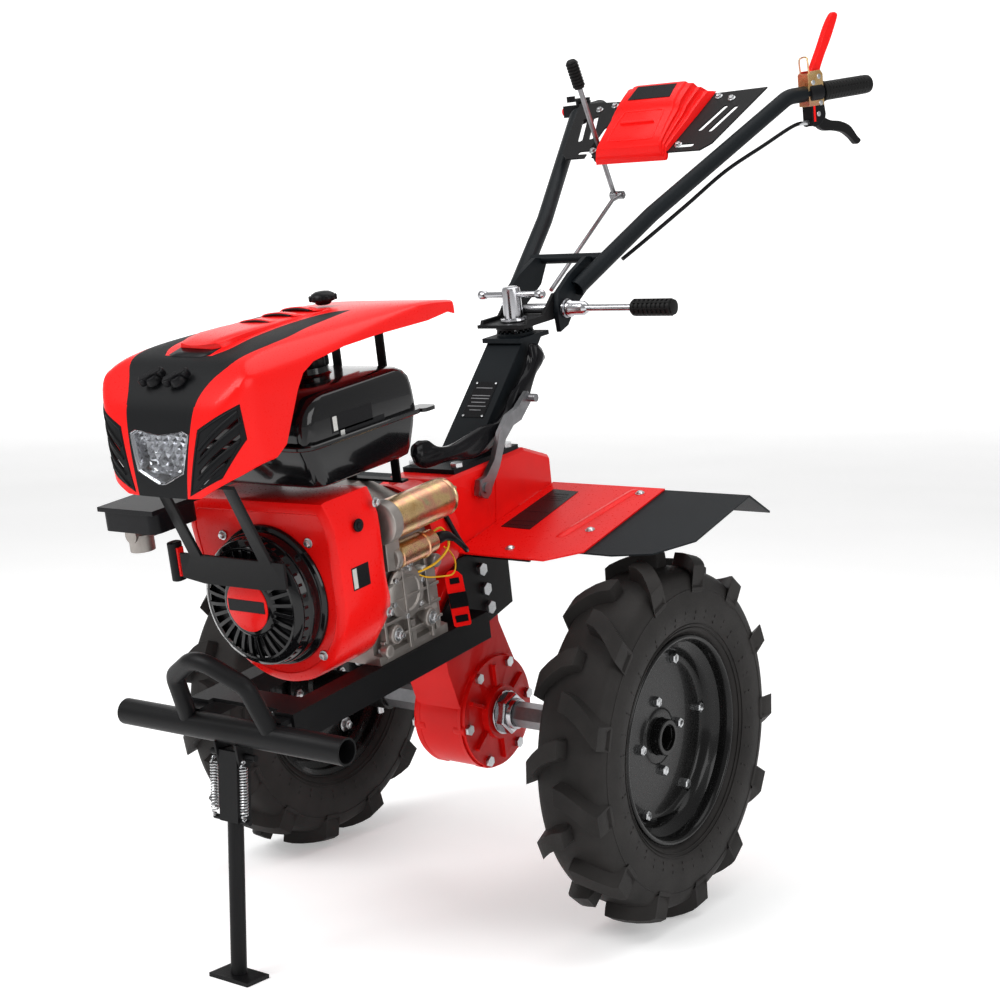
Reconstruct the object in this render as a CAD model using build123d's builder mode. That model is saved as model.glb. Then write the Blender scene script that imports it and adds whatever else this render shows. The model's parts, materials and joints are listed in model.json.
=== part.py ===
"""Two-wheel walk-behind tractor (tiller) that rests on its wheels and front stand.

The machine is drawn level, in its own frame: the origin is the middle of the axle,
+X is the machine's left, -Y is forward and +Z is up. save() then leans the whole
machine nose down, as it stands on the floor, and moves it onto the row's origin.
"""
import os
from math import atan2, cos, degrees, radians, sin, tan

from build123d import *

os.makedirs("parts", exist_ok=True)

# ---------------------------------------------------------------- driving dimensions (mm)
LEAN = 10.0  # degrees, nose down, on wheels and stand
WHEEL_R = 298.6  # over the lugs of a 5.00-12 tyre
WHEEL_X = 370.0  # wheel centre plane from the middle of the machine
ROW_Y = -98.4  # from the axle to the middle of the whole machine's length
CASE_R = 98.0  # final drive case round the axle
CRANK_Z = 345.0  # engine crankshaft height above the axle
RAIL_TOP = 205.0  # top of the engine rails
SWIVEL_Y = 242.0  # steering swivel axis, upright
PIVOT_Y, PIVOT_Z = 315.0, 643.0  # handlebar height pivot, across the machine
STAND_Y = -565.0  # front bumper tube, with the stand under it
TUBE_R = 15.0  # handlebar tube
RUN = 0.05  # radial running clearance of a shaft in its bore
GAP = 0.4  # air between pieces that move past each other


# ---------------------------------------------------------------- helpers
def side_plane(x):
    """Sketch plane across the machine: sketch x is +Y, sketch y is +Z, normal +X."""
    return Plane((x, 0, 0), x_dir=(0, 1, 0), z_dir=(1, 0, 0))


def front_plane(y):
    """Sketch plane seen from the front: sketch x is +X, sketch y is +Z, normal -Y."""
    return Plane((0, y, 0), x_dir=(1, 0, 0), z_dir=(0, -1, 0))


def slab(plane, points, depth, mode=Mode.ADD):
    """Extrude the polygon through points from a plane, in the part being built."""
    with BuildSketch(plane) as outline:
        with BuildLine():
            Polyline(*points, close=True)
        make_face()
    extrude(outline.sketch, amount=depth, mode=mode)


def drum(plane, radius, depth, mode=Mode.ADD):
    """Extrude a disc from a plane."""
    with BuildSketch(plane) as outline:
        Circle(radius)
    extrude(outline.sketch, amount=depth, mode=mode)


def block(plane, width, height, depth, mode=Mode.ADD):
    """Extrude a rectangle centred on a plane."""
    with BuildSketch(plane) as outline:
        Rectangle(width, height)
    extrude(outline.sketch, amount=depth, mode=mode)


def rod(start, end, radius, mode=Mode.ADD):
    """A round bar from start to end."""
    start, end = Vector(*start), Vector(*end)
    drum(Plane(start, z_dir=end - start), radius, (end - start).length, mode)


def bent_bar(points, bend_radii, radius, mode=Mode.ADD):
    """A round bar along straight runs joined by tangent arcs."""
    with BuildLine() as route:
        FilletPolyline(*points, radius=bend_radii)
    start = route.line @ 0
    with BuildSketch(Plane(start, z_dir=route.line % 0)) as section:
        Circle(radius)
    sweep(section.sketch, path=route.line, mode=mode)


def bolt(seat, axis, shank_r, length):
    """A hex bolt whose head sits on seat and points along axis."""
    plane = Plane(seat, z_dir=axis)
    with BuildSketch(plane) as head:
        RegularPolygon(shank_r * 1.65, 6, major_radius=False)
    extrude(head.sketch, amount=shank_r * 1.2)
    drum(plane, shank_r, -length)


def ring_points(centre_y, centre_z, radius, count, start):
    """Points (y, z) evenly spaced on a circle."""
    turns = [radians(start + i * 360 / count) for i in range(count)]
    return [(centre_y + radius * cos(turn), centre_z + radius * sin(turn)) for turn in turns]


STANCE = Location((0, ROW_Y, WHEEL_R)) * Location((0, 0, 0), (LEAN, 0, 0))


def save(builder, name):
    """Lean the piece as the machine stands, label it and write its STEP file."""
    placed = builder.part.moved(STANCE)
    placed.label = name
    export_step(placed, f"parts/{name}.step")


def both_sides(builder):
    """Add the mirror image of what the builder holds so far, across the middle plane."""
    add(mirror(builder.part, about=Plane.YZ))


# ---------------------------------------------------------------- wheels and axle
HUB_FACE = WHEEL_X + 3  # outer face of the wheel dish
DISH = 5.0
BEAD_R, LIP_R, LIP_X = 160.0, 169.0, 46.0
INNER_BOLT_R, OUTER_BOLT_R = 59.5, 128.0
INNER_START, OUTER_START = 90.8, 61.0
HEX = 38.0  # axle across flats
AXLE_END, JOURNAL = 300.0, 68.0  # hexagonal ends, round journals
LUGS = 13
SEAM = 0.2  # between the sectors of a tyre or a rim barrel
GROUND = 270 - LEAN  # angle of the floor below the axle



def sectors(hand):
    """Part a wheel ring into twelve nearly convex sectors, a hair apart."""
    for k in range(6):
        across = radians(5 + 30 * k)
        seam = Plane((hand * WHEEL_X, 0, 0), x_dir=(1, 0, 0), z_dir=(0, cos(across), sin(across)))
        block(seam.offset(-SEAM / 2), 140, 640, SEAM, Mode.SUBTRACT)


# tyre carcass: a hollow section that opens at the beads, with lugs on its crown
with BuildPart() as tyre:
    with BuildSketch(Plane.XY) as section:
        with BuildLine():
            crown = ThreePointArc((WHEEL_X - 50, 268), (WHEEL_X, 276), (WHEEL_X + 50, 268))
            ThreePointArc(crown @ 1, (WHEEL_X + 61, 222), (WHEEL_X + 43, LIP_R + 1))
            Line((WHEEL_X + 43, LIP_R + 1), (WHEEL_X + 43, BEAD_R))
            Line((WHEEL_X + 43, BEAD_R), (WHEEL_X + 31, BEAD_R))
            Line((WHEEL_X + 31, BEAD_R), (WHEEL_X + 31, 176))
            ThreePointArc((WHEEL_X + 31, 176), (WHEEL_X + 50, 222), (WHEEL_X + 40, 258))
            ThreePointArc((WHEEL_X + 40, 258), (WHEEL_X, 264), (WHEEL_X - 40, 258))
            ThreePointArc((WHEEL_X - 40, 258), (WHEEL_X - 50, 222), (WHEEL_X - 31, 176))
            Line((WHEEL_X - 31, 176), (WHEEL_X - 31, BEAD_R))
            Line((WHEEL_X - 31, BEAD_R), (WHEEL_X - 43, BEAD_R))
            Line((WHEEL_X - 43, BEAD_R), (WHEEL_X - 43, LIP_R + 1))
            ThreePointArc((WHEEL_X - 43, LIP_R + 1), (WHEEL_X - 61, 222), crown @ 0)
        make_face()
    revolve(axis=Axis.X)
with BuildPart() as lugs:
    for i in range(LUGS):
        for hand in (1, -1):
            angle = GROUND + (i + (0.5 if hand < 0 else 0)) * 360 / LUGS
            out = Vector(0, cos(radians(angle)), sin(radians(angle)))
            lug_plane = Plane(Vector(WHEEL_X, 0, 0) + out * 262, x_dir=(1, 0, 0), z_dir=out)
            slab(lug_plane, [(-6 * hand, -16), (64 * hand, 24), (64 * hand, 58), (-6 * hand, 14)], 45)
    with BuildSketch(Plane.XY) as tread:
        with BuildLine():
            top = ThreePointArc((WHEEL_X - 62, 284), (WHEEL_X, WHEEL_R), (WHEEL_X + 62, 284))
            Line(top @ 1, (WHEEL_X + 58, 245))
            Line((WHEEL_X + 58, 245), (WHEEL_X - 58, 245))
            Line((WHEEL_X - 58, 245), top @ 0)
        make_face()
    revolve(tread.sketch, axis=Axis.X, mode=Mode.INTERSECT)
    with BuildSketch(Plane.XY) as core:
        with BuildLine():
            low = ThreePointArc((WHEEL_X - 52, 262), (WHEEL_X, 270), (WHEEL_X + 52, 262))
            Polyline(low @ 1, (WHEEL_X + 52, 200), (WHEEL_X - 52, 200), low @ 0)
        make_face()
    revolve(core.sketch, axis=Axis.X, mode=Mode.SUBTRACT)
with BuildPart() as lugged:
    add(tyre.part)
    add(lugs.part)
with BuildPart() as tyre_left:
    add(lugged.part)
    sectors(1)
with BuildPart() as tyre_right:
    add(mirror(lugged.part, about=Plane.YZ))
    sectors(-1)
save(tyre_left, "tyre_left")
save(tyre_right, "tyre_right")

# pressed steel rim: a drop-centre barrel, and a disc with a hair of air at its weld line
with BuildPart() as barrel:
    with BuildSketch(Plane.XY) as section:
        with BuildLine():
            Polyline(
                (WHEEL_X + LIP_X, LIP_R), (WHEEL_X + 43.2, LIP_R), (WHEEL_X + 43.2, BEAD_R - 0.2),
                (WHEEL_X + 24, BEAD_R - 0.2), (WHEEL_X + 20, 144), (WHEEL_X - 20, 144),
                (WHEEL_X - 24, BEAD_R - 0.2), (WHEEL_X - 43.2, BEAD_R - 0.2), (WHEEL_X - 43.2, LIP_R),
                (WHEEL_X - LIP_X, LIP_R), (WHEEL_X - LIP_X, BEAD_R - 3.5), (WHEEL_X - 26, BEAD_R - 3.5),
                (WHEEL_X - 22, 140), (WHEEL_X + 22, 140), (WHEEL_X + 26, BEAD_R - 3.5),
                (WHEEL_X + LIP_X, BEAD_R - 3.5), close=True,
            )
        make_face()
    revolve(axis=Axis.X)
with BuildPart() as disc:
    drum(side_plane(HUB_FACE - DISH), 140 - RUN, DISH)
    drum(side_plane(HUB_FACE - DISH), 30, DISH, Mode.SUBTRACT)
    for radius, count, start in ((INNER_BOLT_R, 4, INNER_START), (OUTER_BOLT_R, 6, OUTER_START)):
        for y, z in ring_points(0, 0, radius, count, start):
            rod((HUB_FACE + 1, y, z), (HUB_FACE - DISH - 1, y, z), 6.0, Mode.SUBTRACT)
with BuildPart() as rim_left:
    add(barrel.part)
    sectors(1)
    add(disc.part)
with BuildPart() as rim_right:
    add(mirror(barrel.part, about=Plane.YZ))
    sectors(-1)
    add(mirror(disc.part, about=Plane.YZ))
save(rim_left, "rim_left")
save(rim_right, "rim_right")

# hub: a flange behind the dish on a tube that slides over the hexagonal axle
HUB_IN, HUB_OUT, FLANGE = 190.0, 392.0, 8.0
with BuildPart() as wheel_hubs:
    drum(side_plane(HUB_IN), 27, HUB_OUT - HUB_IN)
    drum(side_plane(HUB_FACE - DISH - FLANGE), 78, FLANGE)
    with BuildSketch(side_plane(HUB_IN)) as socket:
        RegularPolygon(HEX / 2 + RUN, 6, major_radius=False)
    extrude(socket.sketch, amount=HUB_OUT - HUB_IN, mode=Mode.SUBTRACT)
    for y, z in ring_points(0, 0, INNER_BOLT_R, 4, INNER_START):
        rod((HUB_FACE, y, z), (HUB_FACE - 20, y, z), 6.0, Mode.SUBTRACT)
    rod((HUB_IN + 25, 0, 40), (HUB_IN + 25, 0, -40), 6.0, Mode.SUBTRACT)
    both_sides(wheel_hubs)
save(wheel_hubs, "wheel_hubs")

# bolts with nuts, the pins that lock the hubs, and a zinc collar outside each axle bearing
with BuildPart() as wheel_bolts:
    for radius, count, start, grip in (
        (INNER_BOLT_R, 4, INNER_START, DISH + FLANGE), (OUTER_BOLT_R, 6, OUTER_START, DISH),
    ):
        for y, z in ring_points(0, 0, radius, count, start):
            bolt((HUB_FACE, y, z), (1, 0, 0), 5.8, grip + 12)
            with BuildSketch(side_plane(HUB_FACE - grip)) as nut:
                with Locations((y, z)):
                    RegularPolygon(9.6, 6, major_radius=False)
            extrude(nut.sketch, amount=-8)
    pin_x = HUB_IN + 25
    rod((pin_x, 0, 34), (pin_x, 0, -34), 5.9)
    drum(Plane((pin_x, 0, 34)), 10, 4)
    with BuildSketch(side_plane(JOURNAL + 0.6)) as collar:
        RegularPolygon(31, 6, major_radius=False)
        RegularPolygon(HEX / 2 + RUN, 6, major_radius=False, mode=Mode.SUBTRACT)
    extrude(collar.sketch, amount=20)
    with BuildSketch(side_plane(JOURNAL + 20.6)) as lip:
        Circle(26)
        RegularPolygon(HEX / 2 + RUN, 6, major_radius=False, mode=Mode.SUBTRACT)
    extrude(lip.sketch, amount=8)
    both_sides(wheel_bolts)
save(wheel_bolts, "wheel_bolts")

# axle: hexagonal ends, round journals in the case, locked to its gear by a key
with BuildPart() as drive_axle:
    with BuildSketch(side_plane(-AXLE_END)) as bar:
        RegularPolygon(HEX / 2, 6, major_radius=False)
    extrude(bar.sketch, amount=2 * AXLE_END)
    with BuildSketch(side_plane(-JOURNAL)) as turned:
        Rectangle(60, 60)
        Circle(19.0, mode=Mode.SUBTRACT)
    extrude(turned.sketch, amount=2 * JOURNAL, mode=Mode.SUBTRACT)
    for hand in (1, -1):
        x = hand * (HUB_IN + 25)
        rod((x, 0, 40), (x, 0, -40), 6.0, Mode.SUBTRACT)
save(drive_axle, "drive_axle")


# ---------------------------------------------------------------- final drive
MODULE, GEAR_TEETH, PINION_TEETH = 4.0, 36, 12
CENTRES = MODULE * (GEAR_TEETH + PINION_TEETH) / 2
PINION_LEAN = 118.0  # direction from the axle to the pinion, in the side view
PINION_Y = CENTRES * cos(radians(PINION_LEAN))
PINION_Z = CENTRES * sin(radians(PINION_LEAN))


def gear(y, z, teeth, width, start):
    """A spur gear across the middle plane, with straight-flanked teeth."""
    pitch_r = MODULE * teeth / 2
    root_r, tip_r = pitch_r - 1.3 * MODULE, pitch_r + 0.85 * MODULE
    outline = []
    for k in range(teeth):
        turn = radians(start + k * 360 / teeth)
        for radius, half in ((root_r, -0.72), (tip_r, -0.32), (tip_r, 0.32), (root_r, 0.72)):
            at = turn + half * MODULE / radius
            outline.append((y + radius * cos(at), z + radius * sin(at)))
    slab(side_plane(-width / 2), outline, width)


with BuildPart() as final_gear:
    gear(0, 0, GEAR_TEETH, 30, PINION_LEAN)
    drum(side_plane(-20), 32, 40)
    drum(side_plane(-30), 19.0, 60, Mode.SUBTRACT)
save(final_gear, "final_gear")

with BuildPart() as pinion_shaft:
    gear(PINION_Y, PINION_Z, PINION_TEETH, 34, PINION_LEAN + 180 + 180 / PINION_TEETH)
    rod((-40, PINION_Y, PINION_Z), (40, PINION_Y, PINION_Z), 11)
save(pinion_shaft, "pinion_shaft")

LEG_TOP = 283.0
CASE_HALF = 46.0
COVER_T = 8.0
BOX_X, BOX_LOW, BOX_TOP = 60.0, LEG_TOP, 430.0
COLUMN_BOLTS = ((-44, -22), (44, -22), (-44, 118), (44, 118))
with BuildPart() as frame_bolts:
    for hand in (1, -1):
        for y, z in ring_points(0, 0, 87, 6, 1):
            bolt((hand * (CASE_HALF + COVER_T), y, z), (hand, 0, 0), 5, 12)
        for y, z in ((-20, 262), (-14, 226), (-8, 192)):
            bolt((hand * 66, y, z), (hand, 0, 0), 6, 18)
        for y in (-200, -150):
            bolt((hand * 66, y, 178), (hand, 0, 0), 5, 10)
    for x in (-34, 34):
        for z in (348, 386):
            bolt((x, 234, z), (0, 1, 0), 5, 22)
    for x, y in COLUMN_BOLTS:
        bolt((x, y, BOX_TOP + 8), (0, 0, 1), 6, 24)


def case_outline(radius, leg):
    """Side outline of the case: a disc round the axle with a leg up to the gearbox."""
    with BuildSketch(side_plane(0)) as outline:
        Circle(radius)
        with BuildLine():
            Polyline(*leg, close=True)
        make_face()
    return outline.sketch


with BuildPart() as final_case:
    extrude(case_outline(CASE_R, [
        (-90, 30), (-112, 110), (-112, 235), (-84, 262), (-84, LEG_TOP), (40, LEG_TOP), (40, 150), (84, 40),
    ]), amount=CASE_HALF, both=True)
    extrude(case_outline(CASE_R - 18, [
        (-70, 30), (-94, 110), (-94, 228), (-68, 254), (-68, LEG_TOP - 16), (24, LEG_TOP - 16),
        (24, 140), (60, 40),
    ]), amount=34, both=True, mode=Mode.SUBTRACT)
    drum(side_plane(-60), 24, 120, Mode.SUBTRACT)
    rod((-41, PINION_Y, PINION_Z), (41, PINION_Y, PINION_Z), 11 + RUN, Mode.SUBTRACT)
    add(frame_bolts.part, mode=Mode.SUBTRACT)

# the cover on each side of the case, with its ribs and bearing boss
with BuildPart() as bearing_covers:
    drum(side_plane(CASE_HALF), CASE_R - 2, COVER_T)
    drum(side_plane(CASE_HALF + COVER_T), 46, 12)
    for y, z in ring_points(0, 0, 66, 6, 31):
        rib_plane = Plane((CASE_HALF + COVER_T, y, z), x_dir=(0, y, z), z_dir=(1, 0, 0))
        with BuildSketch(rib_plane) as rib:
            Rectangle(38, 6)
        extrude(rib.sketch, amount=7)
    drum(side_plane(0), 19.0 + RUN, 80, Mode.SUBTRACT)
    add(frame_bolts.part, mode=Mode.SUBTRACT)
    both_sides(bearing_covers)
with BuildPart() as cased_drive:
    add(final_case.part)
    add(bearing_covers.part)
save(cased_drive, "final_case")


# ---------------------------------------------------------------- upper gearbox and clutch
box_side = [(-84, BOX_LOW), (-84, BOX_TOP), (150, BOX_TOP), (226, 398), (226, 330), (180, BOX_LOW)]
with BuildPart() as gearbox:
    slab(side_plane(-BOX_X), box_side, 2 * BOX_X)
    fillet(gearbox.edges().filter_by(Axis.X), 8)
    chamfer(gearbox.faces().sort_by(Axis.Z)[-1].edges().filter_by(Axis.Y), 6)
    for x in (-34, 34):
        for z in (348, 386):
            rod((x, 214, z), (x, 234, z), 13)
    for hand in (1, -1):
        drum(Plane((hand * BOX_X, 6, 396), z_dir=(hand, 0, 0)), 18, 5)
        slab(side_plane(min(hand * 50, hand * 61.5)), [(41, 306), (60, 420), (72, 420), (67, 306)], 11.5)
    slab(side_plane(-48), [
        (-70, BOX_LOW + 10), (-70, BOX_TOP - 12), (140, BOX_TOP - 12), (206, 388), (206, 340),
        (172, BOX_LOW + 10),
    ], 96, Mode.SUBTRACT)
    rod((0, -90, CRANK_Z), (0, -60, CRANK_Z), 14 + RUN, Mode.SUBTRACT)
    rod((0, 198, CRANK_Z), (0, 212, CRANK_Z), 14 + RUN, Mode.SUBTRACT)
    rod((-70, 6, 396), (70, 6, 396), 9 + RUN, Mode.SUBTRACT)
    add(frame_bolts.part, mode=Mode.SUBTRACT)
save(gearbox, "gearbox")

PTO_Y = -165.0  # engine output face
with BuildPart() as clutch_housing:
    rod((0, PTO_Y, CRANK_Z), (0, -84, CRANK_Z), 84)
    rod((0, PTO_Y, CRANK_Z), (0, PTO_Y + 10, CRANK_Z), 96)
    rod((0, PTO_Y, CRANK_Z), (0, -92, CRANK_Z), 72, Mode.SUBTRACT)
    rod((0, -100, CRANK_Z), (0, -80, CRANK_Z), 20, Mode.SUBTRACT)
    slab(side_plane(-100), [
        (-170, LEG_TOP - 60), (-80, LEG_TOP - 60), (-80, 262), (-170, 262),
    ], 200, Mode.SUBTRACT)
save(clutch_housing, "clutch_housing")

# gearbox input shaft with the driven clutch drum and the driving bevel gear
with BuildPart() as input_shaft:
    rod((0, -104, CRANK_Z), (0, 210, CRANK_Z), 14)
    rod((0, -124, CRANK_Z), (0, -104, CRANK_Z), 60)
    rod((0, 20, CRANK_Z), (0, 44, CRANK_Z), 34)
    rod((0, 90, CRANK_Z), (0, 112, CRANK_Z), 26)
save(input_shaft, "input_shaft")

# ---------------------------------------------------------------- frame
RAIL_IN, RAIL_OUT = 66.2, 104.0
with BuildPart() as engine_rails:
    slab(front_plane(-60), [
        (RAIL_IN, RAIL_TOP - 6), (RAIL_OUT - 6, RAIL_TOP - 6), (RAIL_OUT - 6, RAIL_TOP - 46),
        (RAIL_OUT, RAIL_TOP - 46), (RAIL_OUT, RAIL_TOP), (RAIL_IN, RAIL_TOP),
    ], 480)
    for y in (-320, -200):
        block(Plane((90, y, 150)), 9, 34, 100, Mode.SUBTRACT)
    both_sides(engine_rails)
    block(Plane((0, -505, RAIL_TOP - 6)), 2 * RAIL_IN, 50, 6)

# ---------------------------------------------------------------- fender geometry
FENDER_SLOPE = 7.5
PLATE_T = 2.5


def fender_z(y, drop=0.0):
    """Height of the fender's top face above the axle."""
    return 320.6 + y * tan(radians(FENDER_SLOPE)) - drop


def fender_cut(y0, y1, drop, thick=PLATE_T):
    """Side outline of a sloping sheet."""
    return [
        (y0, fender_z(y0, drop)), (y1, fender_z(y1, drop)),
        (y1, fender_z(y1, drop + thick)), (y0, fender_z(y0, drop + thick)),
    ]


# side plates tie the rails to the gearbox and carry the fender arms
with BuildPart() as side_plates:
    slab(side_plane(60), [
        (-250, 160), (-250, 198), (-156, 198), (-92, 250), (-78, 296), (60, 296), (60, 180), (-110, 150),
    ], 6)
    slab(side_plane(60), [(-40, 285), (124, 285), (124, 304), (96, 304), (-40, 296)], 6)
    for y0 in (-36, 100):
        slab(side_plane(60), fender_cut(y0, y0 + 22, PLATE_T + 0.1, 4), 196)
        slab(side_plane(60), [
            (y0, 288), (y0 + 5, 288), (y0 + 5, fender_z(y0 + 5, PLATE_T + 2)),
            (y0, fender_z(y0, PLATE_T + 2)),
        ], 120)
    add(frame_bolts.part, mode=Mode.SUBTRACT)
    both_sides(side_plates)
with BuildPart() as frame:
    add(engine_rails.part)
    add(side_plates.part)
save(frame, "frame")

BUMPER_Z, BUMPER_R, HOOP_R = 176.0, 20.0, 13.5
PIN_Y, PIN_Z = STAND_Y - 2, BUMPER_Z - 37  # stand pin, under the bumper tube
with BuildPart() as hoop:
    bent_bar([
        (-84, STAND_Y, BUMPER_Z), (-72, -592, 262), (0, -612, 306), (72, -592, 262), (84, STAND_Y, BUMPER_Z),
    ], [24, 46, 24], HOOP_R)
    rod((-230, STAND_Y, BUMPER_Z), (230, STAND_Y, BUMPER_Z), BUMPER_R - 1.5, Mode.SUBTRACT)
with BuildPart() as front_bumper:
    rod((-222, STAND_Y, BUMPER_Z), (222, STAND_Y, BUMPER_Z), BUMPER_R)
    for hand in (1, -1):
        slab(side_plane(min(hand * RAIL_IN, hand * (RAIL_OUT - 6.2))), [
            (-560, RAIL_TOP - 6.2), (-500, RAIL_TOP - 6.2), (-500, RAIL_TOP - 14), (-560, RAIL_TOP - 14),
        ], RAIL_OUT - 6.2 - RAIL_IN)
    add(hoop.part)
    for hand in (1, -1):
        slab(side_plane(min(hand * 19, hand * 23)), [
            (STAND_Y - 18, BUMPER_Z - 14), (STAND_Y + 18, BUMPER_Z - 14),
            (STAND_Y + 12, PIN_Z - 14), (STAND_Y - 16, PIN_Z - 14),
        ], 4)
    rod((-44, PIN_Y, PIN_Z), (44, PIN_Y, PIN_Z), 5)
    rod((-230, STAND_Y, BUMPER_Z), (230, STAND_Y, BUMPER_Z), BUMPER_R - 3, Mode.SUBTRACT)
save(front_bumper, "front_bumper")

# ---------------------------------------------------------------- stand
leg_up = Vector(0, sin(radians(LEAN)), cos(radians(LEAN)))
leg_back = Vector(0, cos(radians(LEAN)), -sin(radians(LEAN)))
pin = Vector(0, PIN_Y, PIN_Z)
PIN_HEIGHT = WHEEL_R + PIN_Y * sin(radians(LEAN)) + PIN_Z * cos(radians(LEAN))  # above the floor


def leg_point(x, back, down):
    """A point beside the stand's leg: x across, back and down from its pin."""
    return Vector(x, 0, 0) + pin + leg_back * back - leg_up * down


def leg_plane(x, back, down):
    """A plane square to the leg, facing down along it."""
    return Plane(leg_point(x, back, down), x_dir=(1, 0, 0), z_dir=-leg_up)


FOOT = 6.0
with BuildPart() as stand_leg:
    block(leg_plane(0, 0, -8), 37, 28, 106)
    block(leg_plane(0, 8, -10), 31, 32, 112, Mode.SUBTRACT)
    block(leg_plane(0, -8, 70), 31, 6, 28)
    rod(leg_point(0, 0, 84), leg_point(0, 0, PIN_HEIGHT - FOOT), 12)
    rod((-60, PIN_Y, PIN_Z), (60, PIN_Y, PIN_Z), 5 + RUN, Mode.SUBTRACT)
    block(leg_plane(0, 0, PIN_HEIGHT - FOOT), 78, 46, FOOT)
    rod(leg_point(-36, -6, 96), leg_point(36, -6, 96), 4)
save(stand_leg, "stand_leg")

with BuildPart() as stand_springs:
    for hand in (1, -1):
        top, low = leg_point(hand * 30, -12, 6), leg_point(hand * 30, -12, 90)
        rod(tuple(top), tuple(low), 6.5)
save(stand_springs, "stand_springs")

# ---------------------------------------------------------------- engine
CASE_FRONT, CASE_REAR = -335.0, PTO_Y
with BuildPart() as crankcase:
    slab(front_plane(CASE_REAR), [
        (-112, RAIL_TOP), (100, RAIL_TOP), (100, RAIL_TOP + 14), (88, RAIL_TOP + 16), (88, 350), (60, 420),
        (-30, 452), (-60, 452), (-88, 300), (-96, RAIL_TOP + 16), (-112, RAIL_TOP + 14),
    ], CASE_REAR - CASE_FRONT)
    rod((0, CASE_FRONT - 1, CRANK_Z), (0, CASE_REAR + 1, CRANK_Z), 15 + RUN, Mode.SUBTRACT)
    inner = [(-70, RAIL_TOP + 14), (74, RAIL_TOP + 14), (74, 345), (50, 405), (-40, 430), (-70, 300)]
    slab(front_plane(CASE_REAR - 14), inner, CASE_REAR - CASE_FRONT - 28, Mode.SUBTRACT)
    rod((100, -206, 268), (78, -206, 250), 17)
    for y in (-310, -250, -190):
        block(Plane((92, y, RAIL_TOP + 14)), 20, 10, 34)
save(crankcase, "crankcase")

# finned cylinder, inclined to the machine's right
cylinder_axis = Vector(-cos(radians(25)), 0, sin(radians(25)))
cylinder_start = Vector(-60, -250, 385)
with BuildPart() as cylinder_head:
    for k in range(9):
        fin = Plane(cylinder_start + cylinder_axis * (18 + 10 * k), x_dir=(0, 1, 0), z_dir=cylinder_axis)
        block(fin, 112, 96, 3)
    block(Plane(cylinder_start + cylinder_axis * 17, x_dir=(0, 1, 0), z_dir=cylinder_axis), 84, 80, 100)
    block(Plane(cylinder_start + cylinder_axis * 112, x_dir=(0, 1, 0), z_dir=cylinder_axis), 90, 84, 22)
    add(crankcase.part, mode=Mode.SUBTRACT)
save(cylinder_head, "cylinder_head")

SHROUD_R, SHROUD_FRONT = 140.0, -440.0
def shroud_outline(inset):
    """Front outline of the cooling shroud, moved in by a wall."""
    with BuildSketch(front_plane(CASE_FRONT)) as outline:
        with Locations((0, CRANK_Z)):
            Circle(SHROUD_R)
        with BuildLine():
            Polyline((-140, 340), (-158, 440), (-146, 488), (118, 492), (140, 440), (140, 340), close=True)
        make_face()
        if inset:
            offset(amount=-inset)
    return outline.sketch


with BuildPart() as fan_shroud:
    extrude(shroud_outline(0), amount=CASE_FRONT - SHROUD_FRONT)
    extrude(shroud_outline(4), amount=CASE_FRONT - SHROUD_FRONT - 4, mode=Mode.SUBTRACT)
    rod((0, -450, CRANK_Z), (0, -430, CRANK_Z), 96, Mode.SUBTRACT)
save(fan_shroud, "fan_shroud")

RECOIL_FACE = -494.0
with BuildPart() as recoil_housing:
    with BuildSketch(Plane.YZ):
        with BuildLine():
            Polyline(
                (SHROUD_FRONT - 0.2, CRANK_Z + 107), (SHROUD_FRONT - 4, CRANK_Z + 107),
                (-488, CRANK_Z + 92), (RECOIL_FACE, CRANK_Z + 84), (RECOIL_FACE, CRANK_Z),
                (RECOIL_FACE + 4, CRANK_Z), (RECOIL_FACE + 4, CRANK_Z + 82), (-485, CRANK_Z + 88),
                (SHROUD_FRONT - 4, CRANK_Z + 98), (SHROUD_FRONT - 0.2, CRANK_Z + 98), close=True,
            )
        make_face()
    revolve(axis=Axis((0, 0, CRANK_Z), (0, 1, 0)))
    for k in range(24):
        turn = radians(k * 15)
        slot = Plane(
            (66 * cos(turn), RECOIL_FACE + 6, CRANK_Z + 66 * sin(turn)),
            x_dir=(cos(turn), 0, sin(turn)), z_dir=(0, -1, 0),
        )
        if not 5 <= k <= 7:
            with BuildSketch(slot) as cut:
                SlotOverall(26, 5)
            extrude(cut.sketch, amount=10, mode=Mode.SUBTRACT)
    block(Plane((-98, -462, CRANK_Z + 48), x_dir=(1, 0, 0), z_dir=(0, 0, 1)), 30, 36, 34)
save(recoil_housing, "recoil_housing")

# pull handle on its cord guide, at the housing's upper right corner
HANDLE = Vector(-124, -506, CRANK_Z + 62)
with BuildPart() as pull_handle:
    with BuildSketch(Plane(HANDLE, x_dir=(0, 0, 1), z_dir=(-1, 0, 0))) as grip:
        RectangleRounded(60, 26, 8)
    extrude(grip.sketch, amount=24)
    rod(tuple(HANDLE - Vector(2, 0, 0)), tuple(HANDLE + Vector(8, 0, 0)), 6)
save(pull_handle, "pull_handle")

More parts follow.
